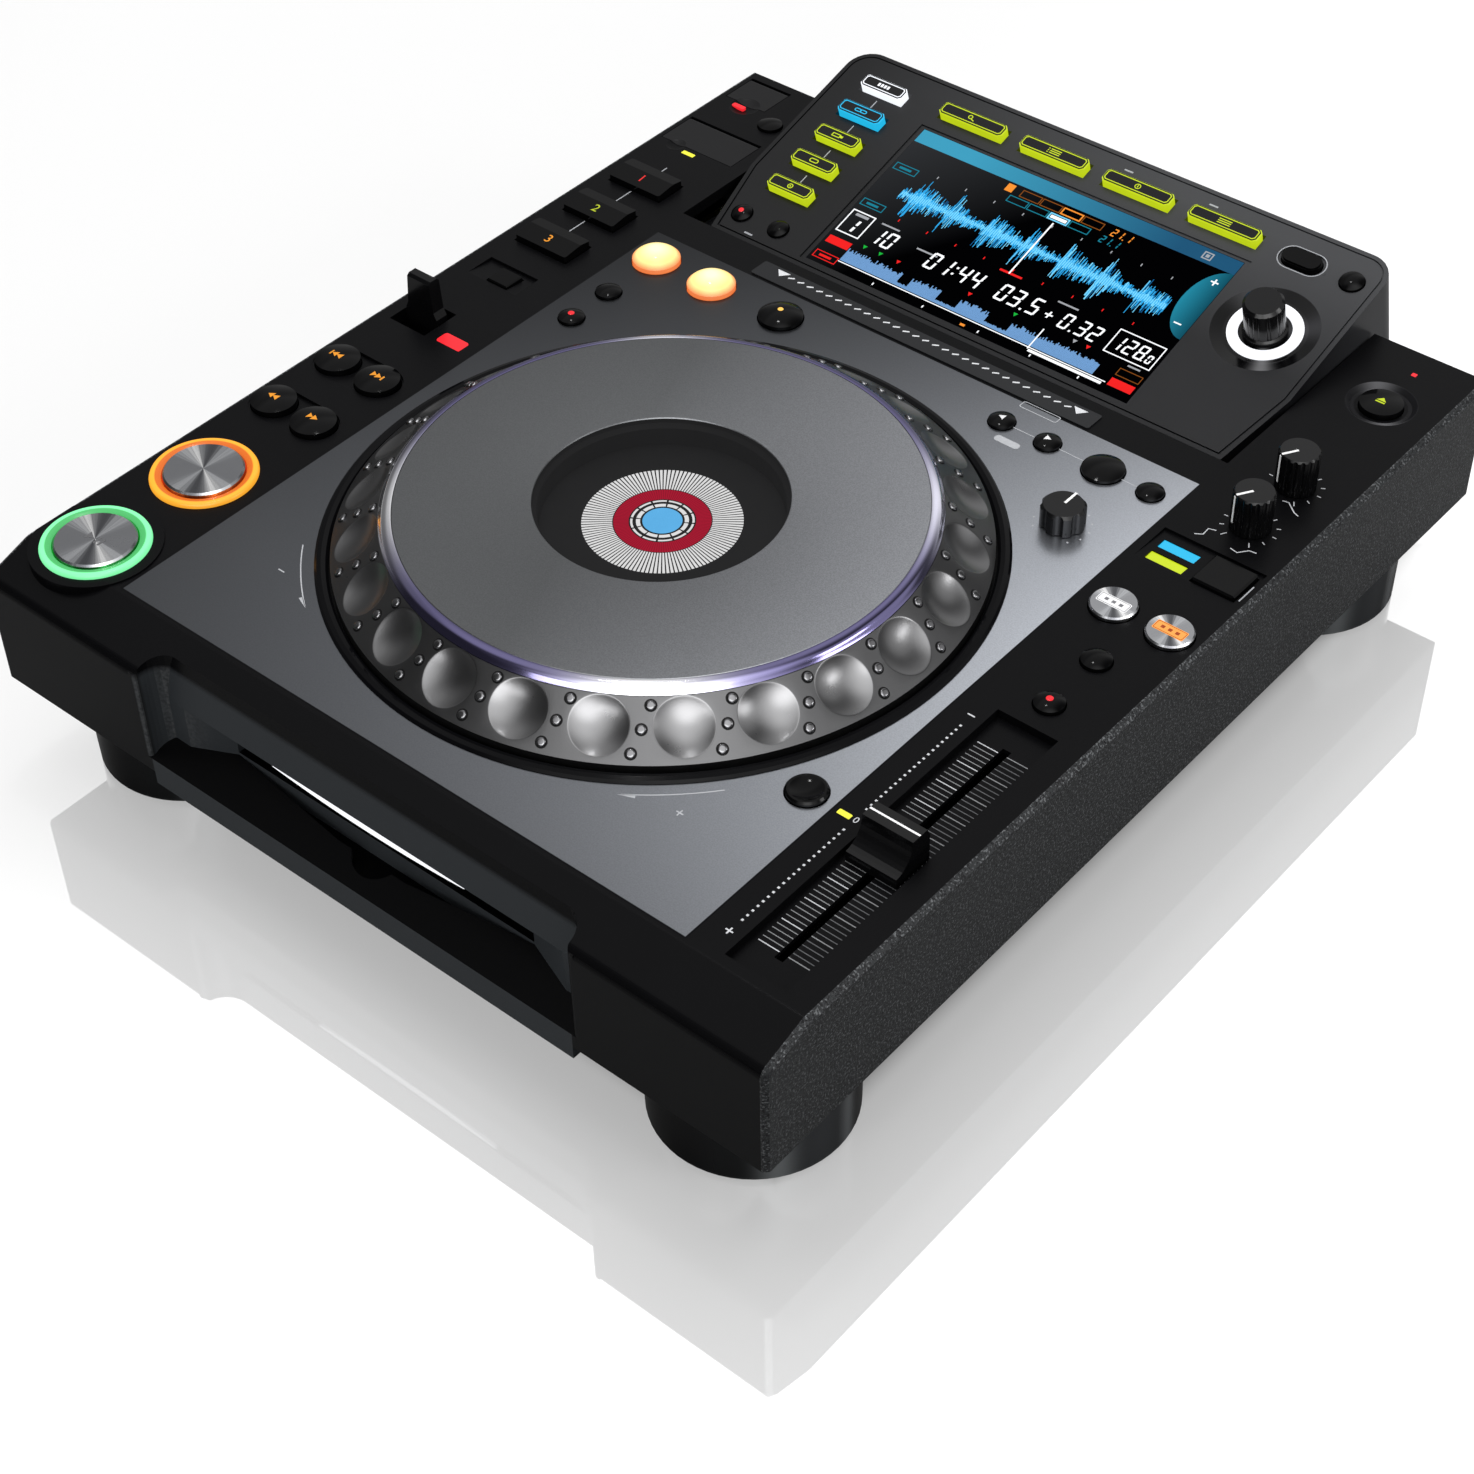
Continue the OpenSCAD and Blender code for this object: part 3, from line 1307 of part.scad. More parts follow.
module light_guides() {
    color("#5cf2a0") light_ring(play_at, 2);
    color("#ff9a2e") light_ring(cue_at, 1.6);
    color("#f6f8ff") on_panel(selector_at[0], selector_at[1], -1.2)
        rotate_extrude()
            polygon([[light_ring_in, 0], [light_ring_r, 0], [light_ring_r - 0.6, 0.8], [light_ring_in, 0.8]]);
    // Line of light under the brow, thickest in the middle
    color("#ffffff") translate([0, y0 + brow_in + 0.4, foot_h + brow_z - line_t])
        linear_extrude(line_t)
            polygon([[-40, 0], [0, -0.2], [40, 0], [40, 1], [-40, 1]]);
    color("#ff3a4c") {
        lit_window(reverse_at, reverse_w, reverse_l, 1);
        lit_window(usb_lamp_at, lamp_w, lamp_l, 1);
        lit_window(standby_at, standby_w, standby_w, 1);
    }
    color("#e6ee3a") {
        lit_window(sd_lamp_at, lamp_w, lamp_l, 1);
        lit_window(zero_lamp_at, zero_w, lamp_l, 1);
    }
    color("#28c8e8") on_deck(vinyl_window_at, -2.4)
        translate([-window_w / 2, -window_l / 2, 0]) cube([window_w, window_l, 1.4]);
    color("#c8dc2c") on_deck(disc_window_at, -2.4)
        translate([-window_w / 2, -window_l / 2, 0]) cube([window_w, window_l, 1.6]);
    color("#0c0d0f") translate([0, post_y, deck_z + label_h - label_t])
        cylinder(r = post_r - 0.1, h = label_t, $fn = 128);
}

line_t = 1.2;
drive_w = 148;
drive_d = 152;
drive_wall = 1.6;
hub_y = 96;
board_z = 4.4;

module drive_and_boards() {
    front = y0 + block_d + gap;
    floor_z = foot_h + case_t;
    path_low = foot_h + slot_z - 0.5;
    path_high = foot_h + slot_z + slot_h + 0.5;
    side = drive_w / 2;
    color("#9a9da2") {
        // Tray, side rails and clamp plate; the disc runs between tray and clamp
        box([-side, front, floor_z], [side, front + drive_d, floor_z + drive_wall]);
        for (s = [-1, 1])
            translate([s * (side - drive_wall / 2), front + drive_d / 2, (floor_z + path_high) / 2])
                cube([drive_wall, drive_d, path_high - floor_z], center = true);
        box([-side, front, path_high], [side, front + drive_d, path_high + drive_wall]);
    }
    // Turntable hub on its motor
    color("#2c2d30") translate([0, front + hub_y - block_d, floor_z + drive_wall]) {
        cylinder(r = 17, h = path_low - floor_z - drive_wall - 4);
        cylinder(r = 14.6, h = path_low - floor_z - drive_wall - 0.5);
    }
    // Loading roller between the rails
    color("#1a1a1a") translate([0, front + 12, path_low - 4.2])
        rotate([0, 90, 0]) cylinder(r = 3.9, h = drive_w - 2 * drive_wall - 0.2, center = true);
    // Optical head on two guide rods
    color("#8d9196") for (s = [-1, 1])
        translate([s * 22, front + drive_d - 2, floor_z + drive_wall + 3.2])
            rotate([90, 0, 0]) cylinder(r = 1.5, h = 50);
    color("#8d9196") for (y = [3, 51])
        box([-26, front + drive_d - y - 1.5, floor_z + drive_wall], [26, front + drive_d - y + 1.5,
            floor_z + drive_wall + 6]);
    color("#34363a") difference() {
        box([-27, front + drive_d - 36, floor_z + drive_wall + 0.5], [27, front + drive_d - 16,
            floor_z + drive_wall + 7]);
        for (s = [-1, 1])
            translate([s * 22, front + drive_d, floor_z + drive_wall + 3.2])
                rotate([90, 0, 0]) cylinder(r = 1.5, h = 50);
    }
    // Main board with its sockets
    color("#1f5a3a") box([-150, y0 + 250, floor_z + board_z - 1.6], [96, y0 + body_d - case_t - 1, floor_z + board_z]);
    for (x = [-146, -27, 92], y = [254, body_d - 10])
        color("#b8babd") translate([x, y0 + y, floor_z]) cylinder(r = 3, h = board_z - 1.6);
    color("#26282b") {
        box([-60, y0 + 270, floor_z + board_z], [-36, y0 + 294, floor_z + board_z + 3]);
        box([-10, y0 + 262, floor_z + board_z], [8, y0 + 280, floor_z + board_z + 3]);
        box([30, y0 + 280, floor_z + board_z], [62, y0 + 302, floor_z + board_z + 4]);
    }
    rear_sockets();
    media_sockets();
    // Power board beside the mains inlet
    color("#8a6a34") box([102, y0 + 262, floor_z + 4.4], [154, y0 + 352, floor_z + 6]);
    for (x = [106, 150], y = [266, 348])
        color("#b8babd") translate([x, y0 + y, floor_z]) cylinder(r = 3, h = 4.4);
    color("#c9a43a") box([112, y0 + 272, floor_z + 6], [138, y0 + 298, floor_z + 26]);
    color("#2a4a86") for (y = [308, 322, 336])
        translate([120, y0 + y, floor_z + 6]) cylinder(r = 5.5, h = 18);
}

// Round jacks, link socket, computer socket and mains inlet, each flush in its opening
module rear_sockets() {
    back = y0 + body_d;
    board_top = foot_h + case_t + board_z;
    deep = 9;
    for (x = audio_x)
        color("#d8d9da") jack(x, 3.1, 1.6);
    color("#d98a2a") jack(digital_x, 3.1, 1.6);
    color("#2c2d30") jack(control_x, 3.1, 1.75);
    for (x = [link_x, computer_x])
        color("#b8babd") difference() {
            box([x - link_w / 2, back - 14, board_top], [x + link_w / 2, back, board_top + link_l]);
            box([x - link_w / 2 + 1.4, back - deep, board_top + 1.2],
                [x + link_w / 2 - 1.4, back + 1, board_top + link_l - 1.2]);
        }
    color("#131315") difference() {
        translate([inlet_at[0] - inlet_w / 2, back - 20, foot_h + inlet_at[1] - inlet_l / 2])
            cube([inlet_w, 20, inlet_l]);
        translate([inlet_at[0] - inlet_w / 2 + 2, back - 16, foot_h + inlet_at[1] - inlet_l / 2 + 2])
            cube([inlet_w - 4, 17, inlet_l - 4]);
    }
    color("#d8d9da") for (x = [-7, 0, 7])
        translate([inlet_at[0] + x - 1, back - 16 - eps, foot_h + inlet_at[1] - 2 + (x == 0 ? 2 : -1)])
            cube([2, 13, 4]);
}

// A round jack through the rear panel, standing on the main board
module jack(x, r, bore) {
    back = y0 + body_d;
    difference() {
        union() {
            translate([x, back + 3, foot_h + jack_z]) rotate([90, 0, 0]) cylinder(r = r, h = 14);
            translate([x - 5, back - 12, foot_h + case_t + board_z])
                cube([10, 12 - case_t, jack_z - case_t - board_z + 3.6]);
        }
        translate([x, back + 4, foot_h + jack_z]) rotate([90, 0, 0]) cylinder(r = bore, h = 10);
    }
}

usb_socket = [14.4, 7.2, 5];
usb_socket_t = 1;
sd_socket = [28, 5.2, 5];
sd_socket_t = 1.4;

// Block in the middle of a well, drawn in by t
module socket_block(at, l, z, size, t) {
    translate([at[0] - size[0] / 2 + t, at[1] - l / 2 - size[1] / 2 + t, z])
        cube([size[0] - 2 * t, size[1] - 2 * t, size[2]]);
}

// Memory sockets on the floors of the two wells
module media_sockets() {
    floor_z = deck_z - well_deep + 1.2;
    color("#b8babd") difference() {
        socket_block(usb_at, usb_l, floor_z, usb_socket, 0);
        socket_block(usb_at, usb_l, floor_z + 0.8, usb_socket, usb_socket_t);
    }
    color("#2a2b2e") difference() {
        socket_block(sd_at, sd_l, floor_z, sd_socket, 0);
        socket_block(sd_at, sd_l, floor_z + 0.8, sd_socket, sd_socket_t);
    }
}

lower_case();
side_plates();
top_deck();
centre_panel();
jog_bezel();
display_housing();
screen();
feet();
light_guides();
drive_and_boards();
jog_wheel();
play_button();
cue_button();
track_search_back();
track_search_forward();
search_back();
search_forward();
direction_lever();
rec_call_button();
hot_cue_1();
hot_cue_2();
hot_cue_3();
usb_stop_button();
usb_door();
sd_door();
loop_in_button();
loop_out_button();
reloop_button();
loop_mode_button();
slip_button();
call_back_button();
call_forward_button();
delete_button();
memory_button();
jog_adjust_knob();
brake_knob();
start_knob();
eject_button();
jog_mode_button();
sync_button();
master_button();
tempo_range_button();
master_tempo_button();
tempo_slider();
tempo_reset_button();
source_button_1();
source_button_2();
source_button_3();
source_button_4();
source_button_5();
menu_button_1();
menu_button_2();
menu_button_3();
menu_button_4();
back_button();
tag_button();
quantize_button();
time_mode_button();
rotary_selector();
power_switch();
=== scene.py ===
"""Dresses a tabletop disc player for DJs: finishes, printed marks, lit parts, screen and studio."""

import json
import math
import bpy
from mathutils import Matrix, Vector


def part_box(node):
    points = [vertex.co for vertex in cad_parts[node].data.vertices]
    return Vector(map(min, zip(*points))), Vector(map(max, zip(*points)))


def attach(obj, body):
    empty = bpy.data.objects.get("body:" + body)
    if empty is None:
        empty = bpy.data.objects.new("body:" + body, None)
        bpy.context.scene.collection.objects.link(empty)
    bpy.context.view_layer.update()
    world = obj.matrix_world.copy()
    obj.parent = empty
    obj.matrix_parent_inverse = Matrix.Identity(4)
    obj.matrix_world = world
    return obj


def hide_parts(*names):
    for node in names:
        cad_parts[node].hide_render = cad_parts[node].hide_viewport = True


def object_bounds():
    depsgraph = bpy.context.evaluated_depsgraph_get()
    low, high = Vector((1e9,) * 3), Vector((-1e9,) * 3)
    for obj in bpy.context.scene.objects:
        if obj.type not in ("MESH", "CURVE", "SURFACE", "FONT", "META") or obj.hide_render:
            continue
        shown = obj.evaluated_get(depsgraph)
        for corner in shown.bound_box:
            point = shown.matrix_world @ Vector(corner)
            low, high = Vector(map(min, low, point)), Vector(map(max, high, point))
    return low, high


bl_info = {
    "name": "Tabletop disc player",
    "version": (1, 0, 0),
    "blender": (4, 5, 0),
    "location": "3D View > Sidebar > Disc player",
    "description": "Finishes, marks, lights and studio of a tabletop disc player",
    "category": "Object",
}

import bmesh
import bpy
from mathutils import Matrix, Vector

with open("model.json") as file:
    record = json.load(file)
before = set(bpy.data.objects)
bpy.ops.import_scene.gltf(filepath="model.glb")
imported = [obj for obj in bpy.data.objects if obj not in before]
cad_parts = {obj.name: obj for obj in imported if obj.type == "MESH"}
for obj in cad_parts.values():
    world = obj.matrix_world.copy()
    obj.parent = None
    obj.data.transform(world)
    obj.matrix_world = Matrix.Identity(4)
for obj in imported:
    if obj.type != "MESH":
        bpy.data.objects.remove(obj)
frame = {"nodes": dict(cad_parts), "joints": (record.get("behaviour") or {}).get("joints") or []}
CAD_BOUNDS = [list(corner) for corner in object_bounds()]
MM = 0.001
# Places in millimetres: the controls, the deck's top, the front and rear faces, the case's underside
SEAT = {joint["child"]: Vector(joint["pos_m"]) / MM for joint in frame["joints"]}
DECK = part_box("centre_panel")[1][2] / MM
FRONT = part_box("top_deck")[0][1] / MM
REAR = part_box("lower_case")[1][1] / MM
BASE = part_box("lower_case")[0][2] / MM
JOG = SEAT["jog_wheel"]
# The selector's turning axis, which is square to the screen unit's panel
PANEL_UP = Vector(next(j for j in frame["joints"] if j["child"] == "rotary_selector")["axis"])
# Middle of the black strips beside the metal panel
STRIP = (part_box("centre_panel")[1][0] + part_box("top_deck")[1][0]) / 2 / MM
# Radius of a foot, and half the width of the slot recess
FOOT = 32.3
RECESS = 88.6
# How far a print reaches into the surface that carries it
SINK = 0.02


class PlayerSizes(bpy.types.PropertyGroup):
    """Sizes of marks and lit parts, in millimetres."""

    line: bpy.props.FloatProperty(name="Printed line", description="Width of printed lines", default=0.45)
    ink: bpy.props.FloatProperty(name="Ink", description="Height of printed marks", default=0.05)
    dimples: bpy.props.IntProperty(name="Dimples", description="Finger dimples of the jog wheel", default=24)
    spokes: bpy.props.IntProperty(name="Label spokes", description="Spokes on the jog label", default=120)
    comb: bpy.props.IntProperty(name="Comb lines", description="Lines beside the tempo slot", default=51)
    dashes: bpy.props.IntProperty(name="Search dashes", description="Dashes on the search strip", default=29)
    scale_dots: bpy.props.IntProperty(
        name="Scale dots", description="Dots on each half of the tempo scale", default=21
    )


class PlayerColours(bpy.types.PropertyGroup):
    """Colours of lit parts and prints."""

    lime: bpy.props.FloatVectorProperty(
        name="Lime", description="Lit keys", subtype="COLOR", size=3, default=(0.50, 0.62, 0.010)
    )
    cyan: bpy.props.FloatVectorProperty(
        name="Cyan", description="Lit key and window", subtype="COLOR", size=3, default=(0.015, 0.42, 0.70)
    )
    mint: bpy.props.FloatVectorProperty(
        name="Mint", description="Ring around play", subtype="COLOR", size=3, default=(0.24, 1.0, 0.43)
    )
    amber: bpy.props.FloatVectorProperty(
        name="Amber", description="Ring around cue", subtype="COLOR", size=3, default=(1.0, 0.42, 0.03)
    )
    red: bpy.props.FloatVectorProperty(
        name="Red", description="Red lamps", subtype="COLOR", size=3, default=(0.85, 0.02, 0.03)
    )
    print_grey: bpy.props.FloatVectorProperty(
        name="Print", description="Marks on the panel", subtype="COLOR", size=3, default=(0.40, 0.41, 0.43)
    )


# ---------------------------------------------------------------- places

def on_deck(x=0, y=0, h=0):
    """A place h above the deck."""
    return Matrix.Translation((x, y, DECK + h))


def over(control, h=0):
    """A place h above the deck, on the upright axis of a control."""
    return on_deck(SEAT[control].x, SEAT[control].y, h)


def behind(d):
    """The y of a place d behind the front face."""
    return FRONT + d


PANEL_V = PANEL_UP.cross(Vector((1, 0, 0)))
SELECTOR_UV = (91.3, 54.6)
PANEL_ZERO = SEAT["rotary_selector"] - Vector((SELECTOR_UV[0], 0, 0)) - PANEL_V * SELECTOR_UV[1]


def on_panel(u=0, v=0, w=0):
    """A place on the screen unit's panel: u across it, v up its slope and w out of it."""
    spot = PANEL_ZERO + Vector((u, 0, 0)) + PANEL_V * v + PANEL_UP * w
    turn = Matrix((Vector((1, 0, 0)), PANEL_V, PANEL_UP)).transposed().to_4x4()
    return Matrix.Translation(spot) @ turn


def over_panel(control, w=0):
    """A place w above the screen unit's panel, on the axis of a control."""
    shift = SEAT[control] - PANEL_ZERO
    return on_panel(shift.x, shift.dot(PANEL_V), w)


# ---------------------------------------------------------------- shapes

def circle(r, steps=64, x=0, y=0):
    turns = [math.tau * i / steps for i in range(steps)]
    return [(x + r * math.cos(t), y + r * math.sin(t)) for t in turns]


def arc(r, a, b, steps, x=0, y=0):
    """Points from angle a to angle b, in degrees."""
    span = [math.radians(a + (b - a) * i / steps) for i in range(steps + 1)]
    return [(x + r * math.cos(t), y + r * math.sin(t)) for t in span]


def rect(w, l, x=0, y=0):
    return [(x - w / 2, y - l / 2), (x + w / 2, y - l / 2), (x + w / 2, y + l / 2), (x - w / 2, y + l / 2)]


def cut_rect(w, l, c, x=0, y=0):
    """A rectangle with its corners cut off by c."""
    a, b = w / 2, l / 2
    pts = [(c - a, -b), (a - c, -b), (a, c - b), (a, b - c), (a - c, b), (c - a, b), (-a, b - c), (-a, c - b)]
    return [(x + p, y + q) for p, q in pts]


def round_rect(w, l, r, steps=6, x=0, y=0):
    a, b = w / 2 - r, l / 2 - r
    out = []
    for cx, cy, start in ((a, -b, -90), (a, b, 0), (-a, b, 90), (-a, -b, 180)):
        out += arc(r, start, start + 90, steps, x + cx, y + cy)
    return out


class Form:
    """Collects the points and faces of one piece, in millimetres."""

    def __init__(self):
        self.points, self.faces, self.tones = [], [], []

    def add(self, points, faces, tone=0, place=None):
        base = len(self.points)
        for p in points:
            self.points.append(place @ Vector(p) if place else Vector(p))
        self.faces += [[base + i for i in f] for f in faces]
        self.tones += [tone] * len(faces)
        return self

    def prism(self, outline, low, high, tone=0, place=None):
        n = len(outline)
        pts = [(x, y, low) for x, y in outline] + [(x, y, high) for x, y in outline]
        faces = [list(range(n))[::-1], [n + i for i in range(n)]]
        faces += [[i, (i + 1) % n, n + (i + 1) % n, n + i] for i in range(n)]
        return self.add(pts, faces, tone, place)

    def band(self, outer, inner, low, high, tone=0, place=None):
        """A frame between two outlines with the same number of points."""
        n = len(outer)
        pts = [(x, y, z) for z in (low, high) for line in (outer, inner) for x, y in line]
        faces = []
        for i in range(n):
            j = (i + 1) % n
            faces += [[2 * n + i, 2 * n + j, 3 * n + j, 3 * n + i], [i, n + i, n + j, j]]
            faces += [[i, j, 2 * n + j, 2 * n + i], [n + i, 3 * n + i, 3 * n + j, n + j]]
        return self.add(pts, faces, tone, place)

    def stroke(self, line, width, low, high, tone=0, place=None):
        """A printed line of constant width along open points."""
        left, right = [], []
        for i, p in enumerate(line):
            a, b = Vector(line[max(i - 1, 0)]), Vector(line[min(i + 1, len(line) - 1)])
            d = (b - a).normalized() * width / 2
            left.append((p[0] - d.y, p[1] + d.x))
            right.append((p[0] + d.y, p[1] - d.x))
        n = len(line)
        pts = [(x, y, z) for z in (low, high) for side in (left, right) for x, y in side]
        faces = [[0, n, 3 * n, 2 * n], [n - 1, 3 * n - 1, 4 * n - 1, 2 * n - 1]]
        for i in range(n - 1):
            faces += [[i, i + 1, n + i + 1, n + i], [2 * n + i, 3 * n + i, 3 * n + i + 1, 2 * n + i + 1]]
            faces += [[i, 2 * n + i, 2 * n + i + 1, i + 1], [n + i, n + i + 1, 3 * n + i + 1, 3 * n + i]]
        return self.add(pts, faces, tone, place)

    def lathe(self, profile, steps=96, tone=0, place=None, tones=None):
        """Turns a closed (radius, height) outline round Z. Points on the axis are merged later."""
        n = len(profile)
        pts = []
        for i in range(steps):
            a = math.tau * i / steps
            pts += [(r * math.cos(a), r * math.sin(a), z) for r, z in profile]
        for k in range(n):
            l = (k + 1) % n
            if profile[k][0] < 1e-6 and profile[l][0] < 1e-6:
                continue
            t = tones[k] if tones else tone
            faces = []
            for i in range(steps):
                a, b = i * n, ((i + 1) % steps) * n
                if profile[k][0] < 1e-6:
                    faces.append([a + k, b + l, a + l])
                elif profile[l][0] < 1e-6:
                    faces.append([a + k, b + k, a + l])
                else:
                    faces.append([a + k, b + k, b + l, a + l])
            base = len(self.points)
            self.faces += [[base + q for q in f] for f in faces]
            self.tones += [t] * len(faces)
        for p in pts:
            self.points.append(place @ Vector(p) if place else Vector(p))
        return self

    def text(self, words, size, depth, tone=0, place=None):
        """Figures or signs, centred on their place."""
        curve = bpy.data.curves.new("figures", "FONT")
        curve.body, curve.size, curve.extrude = words, size, depth / 2
        curve.align_x, curve.align_y = "CENTER", "CENTER"
        curve.resolution_u = 4
        holder = bpy.data.objects.new("figures", curve)
        bpy.context.scene.collection.objects.link(holder)
        bpy.context.view_layer.update()
        mesh = bpy.data.meshes.new_from_object(holder.evaluated_get(bpy.context.evaluated_depsgraph_get()))
        self.add([v.co for v in mesh.vertices], [list(f.vertices) for f in mesh.polygons], tone, place)
        bpy.data.objects.remove(holder)
        bpy.data.meshes.remove(mesh)
        bpy.data.curves.remove(curve)
        return self

    def digits(self, figures, height, depth, tone=0, place=None, thick=0.11, slant=0.12):
        """Seven-bar figures, starting at their lower left corner."""
        bars = {
            "0": "abcdef", "1": "bc", "2": "abdeg", "3": "abcdg", "4": "bcfg", "5": "acdfg", "6": "acdefg",
            "7": "abc", "8": "abcdefg", "9": "abcdfg", "-": "g", " ": "",
        }
        w, t, half = height * 0.52, height * thick, height / 2
        g, pitch = t * 0.5, w + height * 0.2
        x = 0.0
        for figure in figures:
            if figure in ".:":
                spots = [t / 2] if figure == "." else [height * 0.3, height * 0.7]
                quads = [(x, y - t / 2, x + t, y + t / 2) for y in spots]
                x += t * 2.4
            elif figure == "+":
                m, n = height * 0.45, x + w / 2
                quads = [(x, m - t / 2, x + w, m + t / 2), (n - t / 2, m - w / 2, n + t / 2, m + w / 2)]
                x += pitch
            else:
                ends = {
                    "a": (x + g, height - t, x + w - g, height), "d": (x + g, 0, x + w - g, t),
                    "g": (x + g, half - t / 2, x + w - g, half + t / 2),
                    "b": (x + w - t, half + g, x + w, height - g), "c": (x + w - t, g, x + w, half - g),
                    "f": (x, half + g, x + t, height - g), "e": (x, g, x + t, half - g),
                }
                quads = [ends[b] for b in bars[figure]]
                x += pitch
            for x0, y0, x1, y1 in quads:
                corners = ((x0, y0), (x1, y0), (x1, y1), (x0, y1))
                self.prism([(p + slant * q, q) for p, q in corners], -depth, depth, tone, place)
        return self

    def over_dome(self, centre, r, crown, top):
        """Lays points that stand above z=0 of a flat mark onto a dome's top."""
        ball = (r * r + crown * crown) / (2 * crown)
        for p in self.points:
            d2 = (p.x - centre[0]) ** 2 + (p.y - centre[1]) ** 2
            p.z += top - (ball - math.sqrt(max(ball * ball - d2, 0)))
        return self


def finish_piece(name, form, materials, body, replaces=(), sharp=35):
    """Makes the mesh at its place in metres, with clean normals, and ties it to its body."""
    mesh = bpy.data.meshes.new(name)
    bm = bmesh.new()
    verts = [bm.verts.new(p * MM) for p in form.points]
    for corners, tone in zip(form.faces, form.tones):
        if len(set(corners)) < 3:
            continue
        face = bm.faces.new([verts[i] for i in corners])
        face.material_index = tone
        face.smooth = True
    bmesh.ops.remove_doubles(bm, verts=bm.verts, dist=2e-6)
    bmesh.ops.recalc_face_normals(bm, faces=bm.faces)
    bm.to_mesh(mesh)
    bm.free()
    mesh.set_sharp_from_angle(angle=math.radians(sharp))
    return tie(bpy.data.objects.new(name, mesh), materials, body, replaces)


def tie(piece, materials, body, replaces=()):
    """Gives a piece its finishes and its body."""
    if piece.name not in bpy.context.scene.collection.objects:
        bpy.context.scene.collection.objects.link(piece)
    if piece.data.materials:
        piece.data.materials.clear()
    for m in materials:
        piece.data.materials.append(m)
    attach(piece, body)
    if replaces:
        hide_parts(*replaces)
    return piece


def dress(node, material):
    """Gives a node of the frame its finish."""
    thing = frame["nodes"][node]
    for s in thing.material_slots:
        s.material = material
    if not thing.material_slots:
        thing.data.materials.append(material)
    thing["finish"] = material.name


def lamp_dome(name, node, place, finish, r=1.0, shoulder=0.7, rise=0.18):
    """A small lit dome, set into a button."""
    profile = [(0, -0.4), (r, -0.4), (r, 0.02), (shoulder, rise - 0.04), (0, rise)]
    finish_piece(name, Form().lathe(profile, 24, 0, place), [finish.material], node)


# ---------------------------------------------------------------- repeated marks, as node trees

def marks_tree(name):
    """A row of equal blocks: points on a line, blocks on them, real geometry, one finish."""
    tree = bpy.data.node_groups.new(name, "GeometryNodeTree")
    face = tree.interface
    face.new_socket("Geometry", in_out="OUTPUT", socket_type="NodeSocketGeometry")
    for title, kind in (
        ("Count", "Int"), ("Size", "Vector"), ("Step", "Vector"), ("Slant", "Float"), ("Finish", "Material"),
    ):
        face.new_socket(title, in_out="INPUT", socket_type="NodeSocket" + kind)
    new, link = tree.nodes.new, tree.links.new
    given, out = new("NodeGroupInput"), new("NodeGroupOutput")
    points, cube = new("GeometryNodeMeshLine"), new("GeometryNodeMeshCube")
    turn, onto = new("ShaderNodeCombineXYZ"), new("GeometryNodeInstanceOnPoints")
    real, coat = new("GeometryNodeRealizeInstances"), new("GeometryNodeSetMaterial")
    link(given.outputs["Size"], cube.inputs["Size"])
    link(given.outputs["Count"], points.inputs["Count"])
    link(given.outputs["Step"], points.inputs["Offset"])
    link(given.outputs["Slant"], turn.inputs["Z"])
    link(points.outputs[0], onto.inputs["Points"])
    link(cube.outputs[0], onto.inputs["Instance"])
    link(turn.outputs[0], onto.inputs["Rotation"])
    link(onto.outputs[0], real.inputs[0])
    link(real.outputs[0], coat.inputs["Geometry"])
    link(given.outputs["Finish"], coat.inputs["Material"])
    link(coat.outputs[0], out.inputs[0])
    return tree


def grow(name, tree, place, body, slot, material, **values):
    """Runs a tree, keeps its result as a plain mesh at its place and ties it to a body."""
    holder = bpy.data.objects.new(name + ".seed", bpy.data.meshes.new(name + ".seed"))
    bpy.context.scene.collection.objects.link(holder)
    step = holder.modifiers.new("marks", "NODES")
    step.node_group = tree
    values["Finish"] = material
    for item in tree.interface.items_tree:
        if item.in_out == "INPUT" and item.name in values:
            step[item.identifier] = values[item.name]
    bpy.context.view_layer.update()
    mesh = bpy.data.meshes.new_from_object(holder.evaluated_get(bpy.context.evaluated_depsgraph_get()))
    mesh.name = name
    holder.modifiers.clear()
    bpy.data.objects.remove(holder)
    mesh.transform(Matrix.Scale(MM, 4) @ place)
    return tie(bpy.data.objects.new(name, mesh), [material], body)


# ---------------------------------------------------------------- finishes

